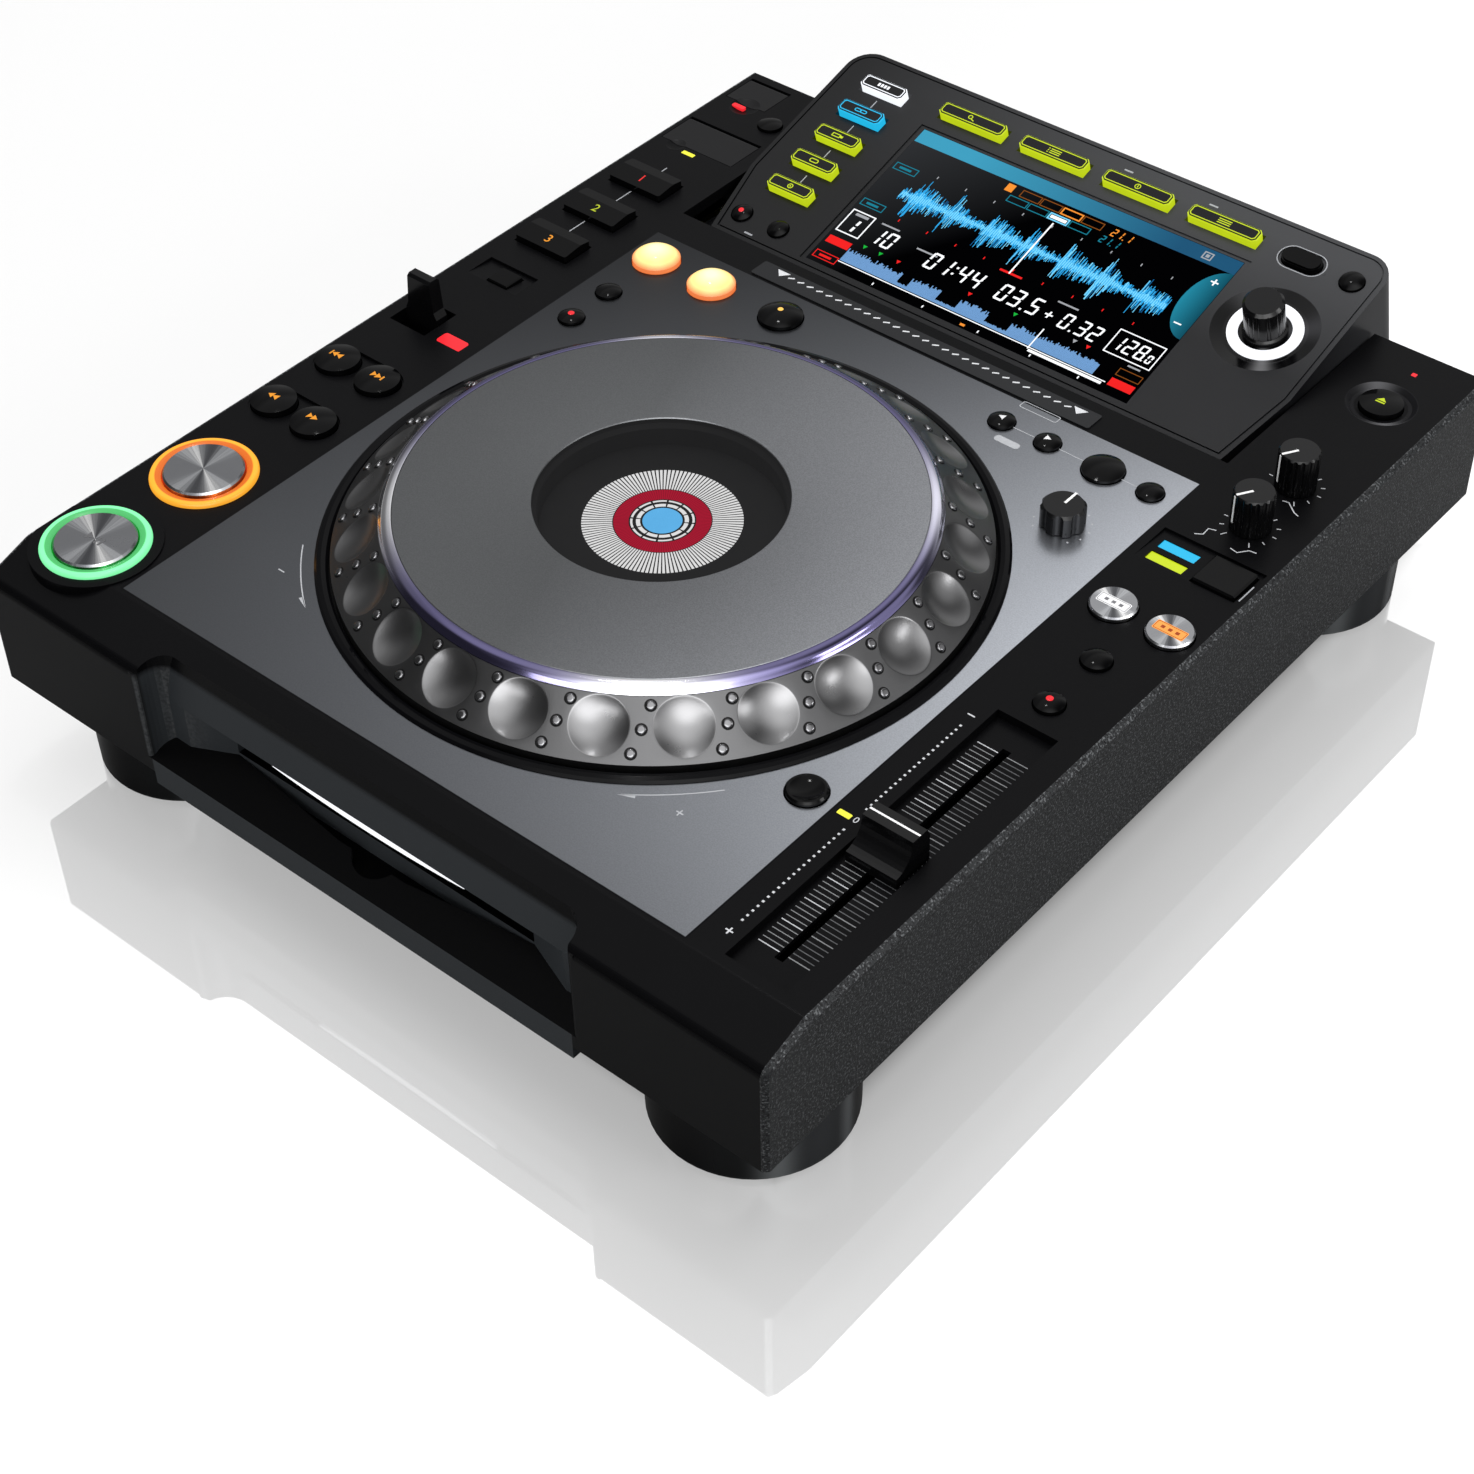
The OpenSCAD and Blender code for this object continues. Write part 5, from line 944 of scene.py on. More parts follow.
class PLAYER_OT_jog_wheel(bpy.types.Operator):
    """Makes the jog wheel: dimpled skirt with studs, bright rim and top plate."""

    bl_idname = "player.jog_wheel"
    bl_label = "Jog wheel"

    # The skirt's cone, from its outer and low edge to its inner and high edge
    outer, inner, low, high = 104.2, 88.2, 2.5, 15.0
    slope = math.atan((high - low) / (outer - inner))
    normal = Vector((math.sin(slope), 0, math.cos(slope)))
    # The ring of finger bowls: where it lies, the rim and depth of a bowl, and the ball that fits it
    dimple_at, dimple_r, dimple_d = 95.5, 9.2, 2.2
    ball = (dimple_r ** 2 + dimple_d ** 2) / (2 * dimple_d)
    # Steps along each of the four sides of a sector
    side = 12

    def execute(self, context):
        count = context.scene.player_sizes.dimples
        self.skirt(count)
        self.studs(count)
        self.rim()
        self.plate()
        return {"FINISHED"}

    def finish_part(self, name, form, finishes, sharp):
        """Ties a part of the wheel to its body, in place of the plain wheel."""
        materials = [finish.material for finish in finishes]
        finish_piece(name, form, materials, "jog_wheel", ("jog_wheel",), sharp=sharp)

    def cone(self, r):
        """Height of the cone at a radius."""
        return self.low + (self.outer - r) * (self.high - self.low) / (self.outer - self.inner)

    def flat(self, r, a):
        """Where a point of the cone lies from a bowl's middle, with the cone rolled flat."""
        return Vector(((r - self.dimple_at) / math.cos(self.slope), a * r))

    def spot(self, r, a, away, turn):
        """A point of the cone, sunk where a bowl is. The root keeps the bowl's edge a little soft."""
        soft = 0.005
        depth = self.dimple_d - (self.ball - math.sqrt(max(self.ball * self.ball - away * away, 0.0)))
        depth = (depth + math.sqrt(depth * depth + soft)) / 2
        p = Vector((r, 0, self.cone(r))) - self.normal * (depth if away < self.dimple_r * 1.25 else 0.0)
        return Matrix.Rotation(a + turn, 3, "Z") @ p

    def border(self, half):
        """The edge of one sector, once round, as radius and angle."""
        wide, side = self.outer - self.inner, self.side
        edge = [(self.inner, -half + 2 * half * i / side) for i in range(side)]
        edge += [(self.inner + wide * i / side, half) for i in range(side)]
        edge += [(self.outer, half - 2 * half * i / side) for i in range(side)]
        edge += [(self.outer - wide * i / side, -half) for i in range(side)]
        return edge

    def skirt(self, count):
        """One sector for each bowl: rings from the bowl's middle outwards, then on to the border."""
        half = math.pi / count
        border = self.border(half)
        rings = [0.0, 0.2, 0.4, 0.58, 0.74, 0.86, 0.93, 0.97, 1.0, 1.03]
        n = len(border)
        faces = [[i + n, (i + 1) % n + n, 0] for i in range(n)]
        faces += [
            [j * n + i, j * n + (i + 1) % n, (j + 1) * n + (i + 1) % n, (j + 1) * n + i]
            for j in range(1, len(rings) + 1) for i in range(n)
        ]
        bowl = n * rings.index(1.0)
        skirt = Form()
        for k in range(count):
            turn = 2 * half * k
            points = []
            for ring in rings:
                for r, a in border:
                    way = self.flat(r, a).normalized() * self.dimple_r * ring
                    x = self.dimple_at + way.x * math.cos(self.slope)
                    points.append(self.spot(x, way.y / x, way.length, turn))
            for share in (0.5, 1.0):
                for r, a in border:
                    way = self.flat(r, a).normalized() * self.dimple_r * rings[-1]
                    x = self.dimple_at + way.x * math.cos(self.slope)
                    b = way.y / x
                    rr, aa = x + (r - x) * share, b + (a - b) * share
                    points.append(self.spot(rr, aa, self.flat(rr, aa).length, turn))
            skirt.add(points, faces[:bowl], 1, over("jog_wheel"))
            skirt.add(points, faces[bowl:], 0, over("jog_wheel"))
        under = [
            (self.outer, self.low), (self.outer, -1.2), (99.6, -1.2), (98.6, 3.2), (86.2, 10.4),
            (86.2, 13.2), (self.inner - 0.6, self.high - 0.2), (self.inner, self.high),
        ]
        self.close_below(skirt, under, count * self.side, half)
        metal = Finish("gunmetal skirt", (0.094, 0.094, 0.096), rough=0.30, metal=0.96, tint=0.06)
        metal.grain(2600, 0.45, 0.00006)
        polished = Finish("polished bowl", (0.165, 0.165, 0.168), rough=0.29, metal=0.97, tint=0.04)
        polished.grain(3000, 0.30, 0.00005)
        self.finish_part("jog_skirt", skirt, (metal, polished), 38)

    def close_below(self, form, line, steps, first):
        """Closes the skirt below with a turned strip that meets the sectors' borders."""
        n = len(line)
        points = []
        for i in range(steps):
            a = first + math.tau * i / steps
            points += [(r * math.cos(a), r * math.sin(a), z) for r, z in line]
        faces = []
        for i in range(steps):
            a, b = i * n, ((i + 1) % steps) * n
            faces += [[a + k, a + k + 1, b + k + 1, b + k] for k in range(n - 1)]
        form.add(points, faces, 0, over("jog_wheel"))

    def studs(self, count):
        """Slanting rows of three grip studs between the bowls, each in a dark groove."""
        body = [(0, -0.6), (1.52, -0.6), (1.52, 0.30), (1.42, 0.55), (1.15, 0.75), (0.7, 0.80), (0, 0.80)]
        ring = [(1.4, -0.3), (1.95, -0.3), (1.95, 0.03), (1.4, 0.03)]
        pitch, slant = 5.6, 0.29
        half = math.pi / count
        studs = Form()
        for k in range(count):
            a = half + 2 * half * k
            for shift in (-pitch, 0, pitch):
                r = self.dimple_at + 0.4 + shift
                turn = Matrix.Rotation(a - math.radians(slant * shift), 4, "Z")
                place = turn @ Matrix.Translation((r, 0, self.cone(r))) @ Matrix.Rotation(self.slope, 4, "Y")
                place = over("jog_wheel") @ place
                studs.lathe(body, 16, 0, place)
                studs.lathe(ring, 16, 1, place)
        stud = Finish("polished stud", (0.15, 0.15, 0.155), rough=0.17, metal=0.95)
        groove = Finish("stud groove", (0.006, 0.006, 0.006), rough=0.5, level=0.1)
        self.finish_part("jog_studs", studs, (stud, groove), 50)

    def rim(self):
        """The bright ring between skirt and top plate, with four painted fans of light."""
        profile = [
            (83.8, 17.55), (83.8, 14.6), (86.2, 13.2), (87.9, 14.7), (88.0, 15.1), (87.3, 15.9),
            (86.9, 16.55), (86.2, 17.1), (85.2, 17.5), (84.4, 17.62),
        ]
        rim = Form().lathe(profile, 240, 0, over("jog_wheel"))
        chrome = Finish(
            "lilac chrome rim", (0.165, 0.150, 0.290), rough=0.13, metal=1.0, tint=0.02, rough_spread=0.0
        )
        # Painted highlights: four near-white fans laid into the rim's colour by angle
        chrome.to(chrome.glints(chrome.bearing(JOG), chrome.colour, (
            (-52, 45, (0.97, 0.97, 1.0)), (220, 22, (0.97, 0.97, 1.0)),
            (38, 30, (0.85, 0.84, 0.98)), (131, 80, (0.9, 0.9, 1.0)),
        )), "Base Color")
        self.finish_part("jog_rim", rim, (chrome,), 40)

    def plate(self):
        """The top plate, whose well goes down to the hub around the label display, with a painted sheen that
        brightens its colour towards the right.
        """
        profile = [
            (83.7, 14.6), (83.7, 17.45), (83.5, 17.6), (41.0, 17.6), (40.5, 17.5), (40.3, 17.2),
            (40.3, 15.6), (39.05, 14.2), (39.05, -1.6), (43.0, -1.6), (43.0, 13.4), (80.0, 13.4),
        ]
        # The faces after these points take the hub's finish where there is a 1
        tones = [0, 0, 0, 0, 0, 1, 1, 1, 1, 1, 1, 0]
        plate = Form().lathe(profile, 240, 0, over("jog_wheel"), tones)
        top = Finish("satin top plate", (0.140, 0.145, 0.150), rough=0.40, metal=0.93, tint=0.02, patch=8)
        # Painted sheen: the colour brightens towards the right and a little towards the rear
        deep = top.math("SUBTRACT", top.axis("Y"), JOG.y * MM)
        across = top.math("ADD", top.axis("X"), top.math("MULTIPLY", deep, 0.35))
        tone = top.mix(top.range(across, 0, 1, -0.02, 0.09), top.colour, (0.36, 0.37, 0.395))
        speckle = top.range(top.noise(2600, 2), 0.0, 0.30, 0.35, 0.65)
        top.to(top.mix(speckle, tone, (0.06, 0.06, 0.065)), "Base Color")
        top.grain(4200, 0.12, 0.00003)
        hub = lit("black hub", (0.0150, 0.0150, 0.0155), 0.85, rough=0.6, level=0.03).grain(1200, 0.05)
        self.finish_part("jog_plate", plate, (top, hub), 30)


class PLAYER_OT_lights(bpy.types.Operator):
    """Makes the lit rings, lamps, windows, the slot line and the label display."""

    bl_idname = "player.lights"
    bl_label = "Lit parts"

    def fine_lines(self, f, colour):
        """Fine dark lines that run outwards from the wheel's centre."""
        lines = 120.0
        wave = f.math("SINE", f.math("MULTIPLY", f.bearing(JOG), lines))
        return f.mix(f.range(wave, 0, 1, 0.1, 0.9), colour, (0.13, 0.004, 0.012))

    def ring(self, name, spot, top, bright, deep):
        """A lit ring around a button, deep in colour at its inner edge and dimmer at its outer edge."""
        profile = [
            (13.75, -4.4), (17.9, -4.4), (17.9, top - 1.1), (17.6, top - 0.4), (17.0, top),
            (15.6, top - 0.1), (14.9, top - 0.3), (13.9, top - 0.7), (13.75, top - 1.4),
        ]
        body = Form().lathe(profile, 96, 0, on_deck(spot.x, spot.y))

        def shade(f, colour):
            r = f.radius(spot)
            edge = f.range(r, 0, 1, 0.0157, 0.0161)
            outer = f.range(r, 0, 1, 0.0172, 0.0179)
            return f.mix(outer, f.mix(edge, deep, colour), [c * 0.75 for c in bright])

        glow = lit(name.replace("_", " "), bright, 1.0, shade)
        finish_piece(name, body, [glow.material], "body", ("light_guides",), sharp=50)

    def slot_line(self):
        """The line of light over the slot, whose lower edge is bowed. Mirrors show it weaker."""
        half, steps, bow, mirrored = 40, 24, 2.1, 0.12
        wide = [(-half + 2 * half * i / steps) for i in range(steps + 1)]
        under = [(x, -0.25 - bow * (1 - (x / half) ** 2)) for x in wide]
        upright = Matrix.Translation((0, behind(8.9), BASE + 25.4)) @ Matrix.Rotation(math.pi / 2, 4, "X")
        line = Form().prism(under + [(half, 0.8), (-half, 0.8)], -1.1, -0.1, 0, upright)
        slot = lit("slot light", (0.95, 0.96, 1.0), 1.0)
        path = slot.new("ShaderNodeLightPath")
        slot.to(slot.blend(path.outputs["Is Glossy Ray"], 1.0, mirrored), "Emission Strength")
        finish_piece("slot_line", line, [slot.material], "body", ("light_guides",))

    def execute(self, context):
        sizes, colours = context.scene.player_sizes, context.scene.player_colours
        gone = ("light_guides",)
        self.ring("play_ring", SEAT["play_button"], 2.0, tuple(colours.mint), (0.0, 0.20, 0.008))
        self.ring("cue_ring", SEAT["cue_button"], 1.6, tuple(colours.amber), (0.50, 0.028, 0.004))

        halo = [(9.2, 0), (13.0, 0), (13.0, 0.5), (12.4, 0.8), (9.2, 0.8)]
        halo = Form().lathe(halo, 96, 0, on_panel(*SELECTOR_UV, -1.2))
        white = lit("white light", (0.95, 0.96, 1.0), 1.0)
        finish_piece("selector_ring", halo, [white.material], "body", gone)
        self.slot_line()

        red = lit("red light", tuple(colours.red), 1.0)
        lime = lit("lime light", tuple(colours.lime), 1.0)
        yellow = lit("yellow light", (0.80, 0.78, 0.05), 1.0)
        cyan = lit("cyan light", tuple(colours.cyan), 1.0)
        lamps = Form()
        for w, l, x, y, tone in (
            (11, 5.6, -STRIP + 10.9, behind(177.6), 0), (5.6, 2, -STRIP - 10.7, REAR - 22.6, 0),
            (1.8, 1.8, STRIP + 1.8, REAR - 12.2, 0), (5.6, 2, -STRIP - 3.7, REAR - 60.2, 1),
            (4.6, 2, STRIP - 17.4, behind(84.2), 1),
        ):
            lamps.prism(round_rect(w, l, min(w, l) * 0.2, 3), -1, 0.05, tone, on_deck(x, y))
        finish_piece("lamps", lamps, [red.material, yellow.material], "body", gone)
        windows = Form()
        for y, tone, top in ((240.8, 0, -1.0), (233.6, 1, -0.8)):
            windows.prism(rect(13.5, 4.5), -2.4, top, tone, on_deck(STRIP - 8.6, behind(y)))
        finish_piece("mode_windows", windows, [cyan.material, lime.material], "body", gone)

        self.label(sizes.spokes)
        return {"FINISHED"}

    def label(self, spokes):
        """The label display in the middle of the wheel: glass, rings, arcs and spokes."""
        top = 8.0
        profile = [(0, 6.5), (38.8, 6.5), (38.8, top - 0.1), (38.7, top), (0, top)]
        label = Form().lathe(profile, 128, 0, over("jog_wheel"))
        glass = lit("label glass", (0.0150, 0.0150, 0.0155), 0.85, rough=0.5, level=0.03)
        finish_piece("label_display", label, [glass.material], "body", ("light_guides",))
        inks = [
            lit("label white", (0.56, 0.56, 0.56), 1.0, level=0.03),
            lit("label red", (0.29, 0.006, 0.022), 1.0, self.fine_lines, level=0.03),
            lit("label blue", (0.085, 0.33, 0.60), 1.0, level=0.03),
            lit("label dark", (0.014, 0.014, 0.015), 0.8, level=0.03),
        ]
        white, red, blue, dark = range(4)
        art = Form()
        here = over("jog_wheel", top)
        art.band(circle(25.6, 96), circle(15.5, 96), -SINK, 0.02, dark, here)
        art.band(circle(15.4, 96), circle(10.6, 96), -SINK, 0.04, red, here)
        art.prism(circle(6.3, 48), -SINK, 0.05, blue, here)
        for k in range(12):
            a = 30 * k + 3
            for r, wide in ((9.75, 0.7), (7.65, 1.3)):
                art.stroke(arc(r, a, a + 26, 8), wide, -SINK, 0.05, white, here)
        # A spoke's ends: their radii, and half their widths as shares of the pitch
        r0, r1 = 15.7, 25.4
        near, far = 0.30 * math.tau * r0 / spokes, 0.33 * math.tau * r1 / spokes
        for k in range(spokes):
            a = math.tau * k / spokes
            side, out = Vector((-math.sin(a), math.cos(a))), Vector((math.cos(a), math.sin(a)))
            corners = ((r0, -near), (r1, -far), (r1, far), (r0, near))
            art.prism([tuple(out * r + side * w) for r, w in corners], -0.01, 0.05, white, here)
        finish_piece("label_art", art, [i.material for i in inks], "body")


class PLAYER_OT_deck_controls(bpy.types.Operator):
    """Finishes the buttons of the deck and lays their signs on them."""

    bl_idname = "player.deck_controls"
    bl_label = "Deck controls"

    def paint_turned_sheen(self, f, spot):
        """Paints the fan of light and dark that turned metal shows, with its fine streaks, as a painted
        reflection.
        """
        angle = f.bearing(spot)
        wobble = f.math("MULTIPLY", f.math("SUBTRACT", f.streaks(angle, 9, 4), 0.5), 0.35)
        colour = f.colour
        # Painted reflection: fans of light and dark laid into the colour by angle around the button
        for way, power, shade in (
            (118, 14, (0.085, 0.087, 0.095)), (94, 30, (0.50, 0.51, 0.53)),
            (172, 90, (0.55, 0.56, 0.58)), (153, 70, (1.0, 1.0, 1.0)),
        ):
            turned = f.math("ADD", f.math("SUBTRACT", angle, math.radians(way)), wobble)
            fan = f.math("POWER", f.math("ABSOLUTE", f.math("COSINE", turned)), float(power))
            colour = f.mix(fan, colour, shade)
        return f.to(colour, "Base Color")

    def execute(self, context):
        sizes, colours = context.scene.player_sizes, context.scene.player_colours
        up = sizes.ink
        for node in ("play_button", "cue_button"):
            spot = SEAT[node]
            name = node.replace("_", " ") + " metal"
            disc = Finish(name, (0.27, 0.275, 0.29), rough=0.26, metal=1.0, tint=0.02)
            self.paint_turned_sheen(disc, spot)
            disc.bump(disc.streaks(disc.radius(spot), 4200), 0.16, 0.00003)
            dress(node, disc.material)
        sign = ink("worn sign", (0.10, 0.10, 0.105))
        place = over("play_button", 2.4)
        mark = Form().prism([(-3.4, -1.7), (-0.6, 0), (-3.4, 1.7)], -SINK, up, 0, place)
        for x in (1.2, 3.0):
            mark.prism(rect(0.8, 3.4, x), -SINK, up, 0, place)
        finish_piece("play_sign", mark, [sign.material], "play_button")

        gloss = Finish("gloss black cap", (0.0016, 0.0016, 0.0018), rough=0.10, level=0.11, rough_spread=0.02)
        gloss.grain(900, 0.04, 0.00002)
        for node in (
            "search_back", "search_forward", "track_search_back", "track_search_forward", "usb_stop_button",
            "reloop_button", "loop_mode_button", "slip_button", "call_back_button", "call_forward_button",
            "delete_button", "memory_button", "eject_button", "jog_mode_button", "tempo_range_button",
            "master_tempo_button", "tempo_reset_button", "back_button", "tag_button", "quantize_button",
            "time_mode_button", "hot_cue_1", "hot_cue_2", "hot_cue_3", "rec_call_button",
        ):
            dress(node, gloss.material)

        orange = lit("orange sign", (0.85, 0.32, 0.02), 0.8)
        for node, way, bar in (
            ("search_back", -1, False), ("search_forward", 1, False),
            ("track_search_back", -1, True), ("track_search_forward", 1, True),
        ):
            spot = SEAT[node]
            place = Matrix.Translation((spot.x, spot.y, 0))
            mark = Form()
            for shift in (-1.0, 1.1):
                tri = [(way * (shift - 1.15), -1.35), (way * (shift + 1.05), 0), (way * (shift - 1.15), 1.35)]
                mark.prism(tri if way > 0 else tri[::-1], -0.1, 0.06, 0, place)
            if bar:
                mark.prism(rect(0.6, 2.3, way * 2.55), -0.1, 0.06, 0, place)
            # The button's dome: its radius, how far it bulges and where its top is
            r, crown, top = 7.8, 1.4, DECK + 3.2
            mark.over_dome(spot, r, crown, top)
            finish_piece(node + "_sign", mark, [orange.material], node)

        red = lit("red dot", tuple(colours.red), 0.9)
        for node, h in (("slip_button", 2.2), ("master_tempo_button", 2.4)):
            lamp_dome(node + "_lamp", node, over(node, h), red, 1.15, 0.8, 0.2)
        amber = lit("amber dot", (1.0, 0.55, 0.10), 1.0)
        lamp_dome("reloop_lamp", "reloop_button", over("reloop_button", 3.6), amber)

        for node in ("loop_in_button", "loop_out_button"):
            def glow(f, colour, spot=SEAT[node]):
                r = f.radius(spot)
                core = f.mix(f.range(r, 0, 1, 0.0015, 0.0062), (1.0, 0.93, 0.62), (1.0, 0.72, 0.24))
                return f.mix(f.range(r, 0, 1, 0.0070, 0.0085), core, (0.75, 0.12, 0.015))

            cap = lit(node.replace("_", " ") + " glow", (1.0, 0.8, 0.4), 1.0, glow, rough=0.15)
            dress(node, cap.material)

        dish = Form()
        tri = [(-1.7, -0.5), (1.7, -0.5), (0, 1.4)]
        dish.prism(tri, 0, 0.06, 0, over("eject_button", 1.38))
        dish.prism(rect(3.4, 0.6, 0, -1.3), 0, 0.06, 0, over("eject_button", 1.36))
        lime = lit("lime sign", tuple(colours.lime), 0.9)
        finish_piece("eject_sign", dish, [lime.material], "eject_button")

        for node in ("sync_button", "master_button"):
            name = node.replace("_", " ") + " silver"
            silver = Finish(name, (0.34, 0.345, 0.36), rough=0.20, metal=1.0, tint=0.02)
            self.paint_turned_sheen(silver, SEAT[node])
            dress(node, silver.grain(600, 0.03, 0.00003).material)
        white, grey = ink("white plate", (0.84, 0.84, 0.85)), ink("grey sign", (0.16, 0.16, 0.17))
        amber, brown = lit("amber plate", (0.95, 0.36, 0.07), 0.85), ink("brown sign", (0.30, 0.045, 0.004))
        for node, face, sign in (("sync_button", white, grey), ("master_button", amber, brown)):
            plate = Form()
            place = over(node, 1.8)
            plate.prism(round_rect(11.0, 4.4, 0.6), -0.3, up, 0, place)
            plate.band(round_rect(10.4, 3.8, 0.5), round_rect(10.0, 3.4, 0.4), -SINK, up + 0.02, 1, place)
            for x in (-2.6, 0, 2.6):
                plate.prism(rect(1.3, 1.3, x), -SINK, up + 0.02, 1, place)
            finish_piece(node + "_sign", plate, [face.material, sign.material], node)

        # A hot cue pad falls by one millimetre over the front five eighths of its length
        rise, run = 1.0, 0.625 * 13.2
        hues = ((0.75, 0.02, 0.02), (0.42, 0.50, 0.02), (0.80, 0.30, 0.02))
        for i, hue in enumerate(hues):
            node = "hot_cue_%d" % (i + 1)
            spot = SEAT[node]
            place = on_deck(spot.x, spot.y - 2.0, 2.98) @ Matrix.Rotation(math.atan(rise / run), 4, "X")
            mark = Form().text(str(i + 1), 5.4, 0.1, 0, place)
            glow = lit("figure %d" % (i + 1), hue, 0.9)
            finish_piece(node + "_figure", mark, [glow.material], node)

        pale = ink("call sign", (0.72, 0.72, 0.73))
        for node, way in (("call_back_button", -1), ("call_forward_button", 1)):
            tri = [(way * 1.3, 0), (-way * 0.9, way * 1.25), (-way * 0.9, -way * 1.25)]
            mark = Form().prism(tri, -0.3, 0.06, 0, over(node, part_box(node)[1][2] / MM - DECK))
            finish_piece(node + "_sign", mark, [pale.material], node)
        self.strip_lines(sizes)
        return {"FINISHED"}

    def strip_lines(self, sizes):
        """Printed lines on the black strips, beside the hot cue pads and the lit windows."""
        grey = ink("strip print", (0.34, 0.35, 0.37))
        first, second, x = SEAT["hot_cue_1"].y, SEAT["hot_cue_2"].y, -STRIP - 3.6
        lines = Form()
        for y in (first, second):
            lines.prism(rect(sizes.line, 10.2, x, y - 12.55), -SINK, sizes.ink, 0, on_deck())
        lines.prism(rect(sizes.line, 4.6, x, first + 10.3), -SINK, sizes.ink, 0, on_deck())
        lines.prism(rect(sizes.line, 8.5, STRIP + 20.0, behind(236.0)), -SINK, sizes.ink, 0, on_deck(-0.9))
        finish_piece("strip_lines", lines, [grey.material], "body")


class PLAYER_OT_knobs(bpy.types.Operator):
    """Finishes knobs and lever, with pointers and the ticks around them."""

    bl_idname = "player.knobs"
    bl_label = "Knobs"

    def execute(self, context):
        up = context.scene.player_sizes.ink
        black = Finish("satin black knob", (0.0028, 0.0028, 0.0032), rough=0.17, level=0.24)
        black.grain(1500, 0.06, 0.00003)
        for node in (
            "brake_knob", "start_knob", "jog_adjust_knob",
            "rotary_selector", "direction_lever", "tempo_slider",
        ):
            dress(node, black.material)
        white = ink("pointer white", (0.82, 0.82, 0.82))
        for node, r, h, turn in (
            ("brake_knob", 6.8, 14.5, 238), ("start_knob", 6.8, 14.5, 238), ("jog_adjust_knob", 7.4, 8.0, 90),
        ):
            place = over(node) @ Matrix.Rotation(math.radians(turn), 4, "Z")
            line = Form().prism(rect(r - 1.0, 0.9, (r - 0.6) / 2 + 0.4), h - SINK, h + up, 0, place)
            line.prism(rect(0.25, 0.9, r - 0.07), h * 0.25, h - 0.55, 0, place)
            finish_piece(node + "_pointer", line, [white.material], node)
        self.ticks(up)
        return {"FINISHED"}

    def ticks(self, up):
        """Ticks around the two tall knobs, bent lines beside them, and dots around the low knob."""
        ticks = Form()
        for node in ("brake_knob", "start_knob"):
            for k in range(11):
                a = math.radians(-60 + 30 * k)
                way = Vector((math.cos(a), math.sin(a)))
                end = 9.6 if k % 5 else 10.4
                ticks.stroke([tuple(way * 8.2), tuple(way * end)], 0.35, -SINK, up, 0, over(node))
        for line in (
            ((127.5, 250.4), (129.8, 251.9), (129.6, 255.3), (132.0, 256.0)),
            ((140.1, 251.5), (142.9, 250.9), (145.4, 254.1), (147.8, 254.4)),
            ((140.2, 281.7), (142.3, 282.1), (146.2, 278.9), (148.2, 278.1)),
        ):
            ticks.stroke([(x, behind(d)) for x, d in line], 0.4, -SINK, up, 0, on_deck())
        for k in range(11):
            a = math.radians(-45 + 27 * k)
            dot = circle(0.35, 10, 9.4 * math.cos(a), 9.4 * math.sin(a))
            ticks.prism(dot, -SINK, up, 0, over("jog_adjust_knob"))
        grey = ink("tick print", (0.5, 0.51, 0.53))
        finish_piece("knob_ticks", ticks, [grey.material], "body")


class PLAYER_OT_tempo(bpy.types.Operator):
    """Adds the comb lines, the scale and the slider's line."""

    bl_idname = "player.tempo"
    bl_label = "Tempo"

    def execute(self, context):
        sizes = context.scene.player_sizes
        row = bpy.data.node_groups["row of marks"]
        pale = ink("scale print", (0.55, 0.56, 0.58))
        # The comb lies lower than the deck, on the floor beside the slider
        floor, start, centre = -3.0, behind(34.2), STRIP + 1.4
        for name, x, soft, strong in (
            ("left", -5.3, (0.20, 0.205, 0.21), (0.50, 0.51, 0.53)),
            ("right", 5.3, (0.085, 0.088, 0.092), (0.20, 0.205, 0.21)),
        ):
            fine, main = ink("comb print " + name, soft), ink("comb print main " + name, strong)
            grow(
                "tempo_comb_" + name, row, on_deck(centre + x, start, floor), "body", "deck_black",
                fine.material, Count=sizes.comb, Size=(7.4, 0.30, 0.08), Step=(0.0, 2.0, 0.0),
            )
            place = on_deck(centre + x, start, floor + 0.02)
            grow(
                "tempo_comb_main_" + name, row, place, "body", "deck_black",
                main.material, Count=11, Size=(7.4, 0.34, 0.1), Step=(0.0, 10.0, 0.0),
            )
        x = STRIP - 13.7
        for name, start in (("front", 34.8), ("rear", 89.6)):
            grow(
                "tempo_dots_" + name, row, on_deck(x, behind(start)), "body", "deck_black", pale.material,
                Count=sizes.scale_dots, Size=(0.75, 0.75, 0.08), Step=(0.0, 2.22, 0.0),
            )
        marks = Form()
        plus, minus = on_deck(x - 0.2, behind(29.5)), on_deck(x - 0.2, behind(139.5))
        marks.prism(rect(2.6, 0.5), -SINK, 0.05, 0, minus)
        marks.prism(rect(2.6, 0.5), -SINK, 0.05, 0, plus)
        marks.prism(rect(0.5, 2.6), -SINK, 0.045, 0, plus)
        marks.text("0", 3.4, 0.08, 0, on_deck(x + 0.4, behind(84.2)))
        finish_piece("tempo_signs", marks, [pale.material], "body")
        line = Form().prism(rect(17.6, 0.7, 0, -1.3), 9.98, 10.05, 0, over("tempo_slider"))
        white = ink("slider white", (0.85, 0.85, 0.86))
        finish_piece("slider_line", line, [white.material], "tempo_slider")
        return {"FINISHED"}


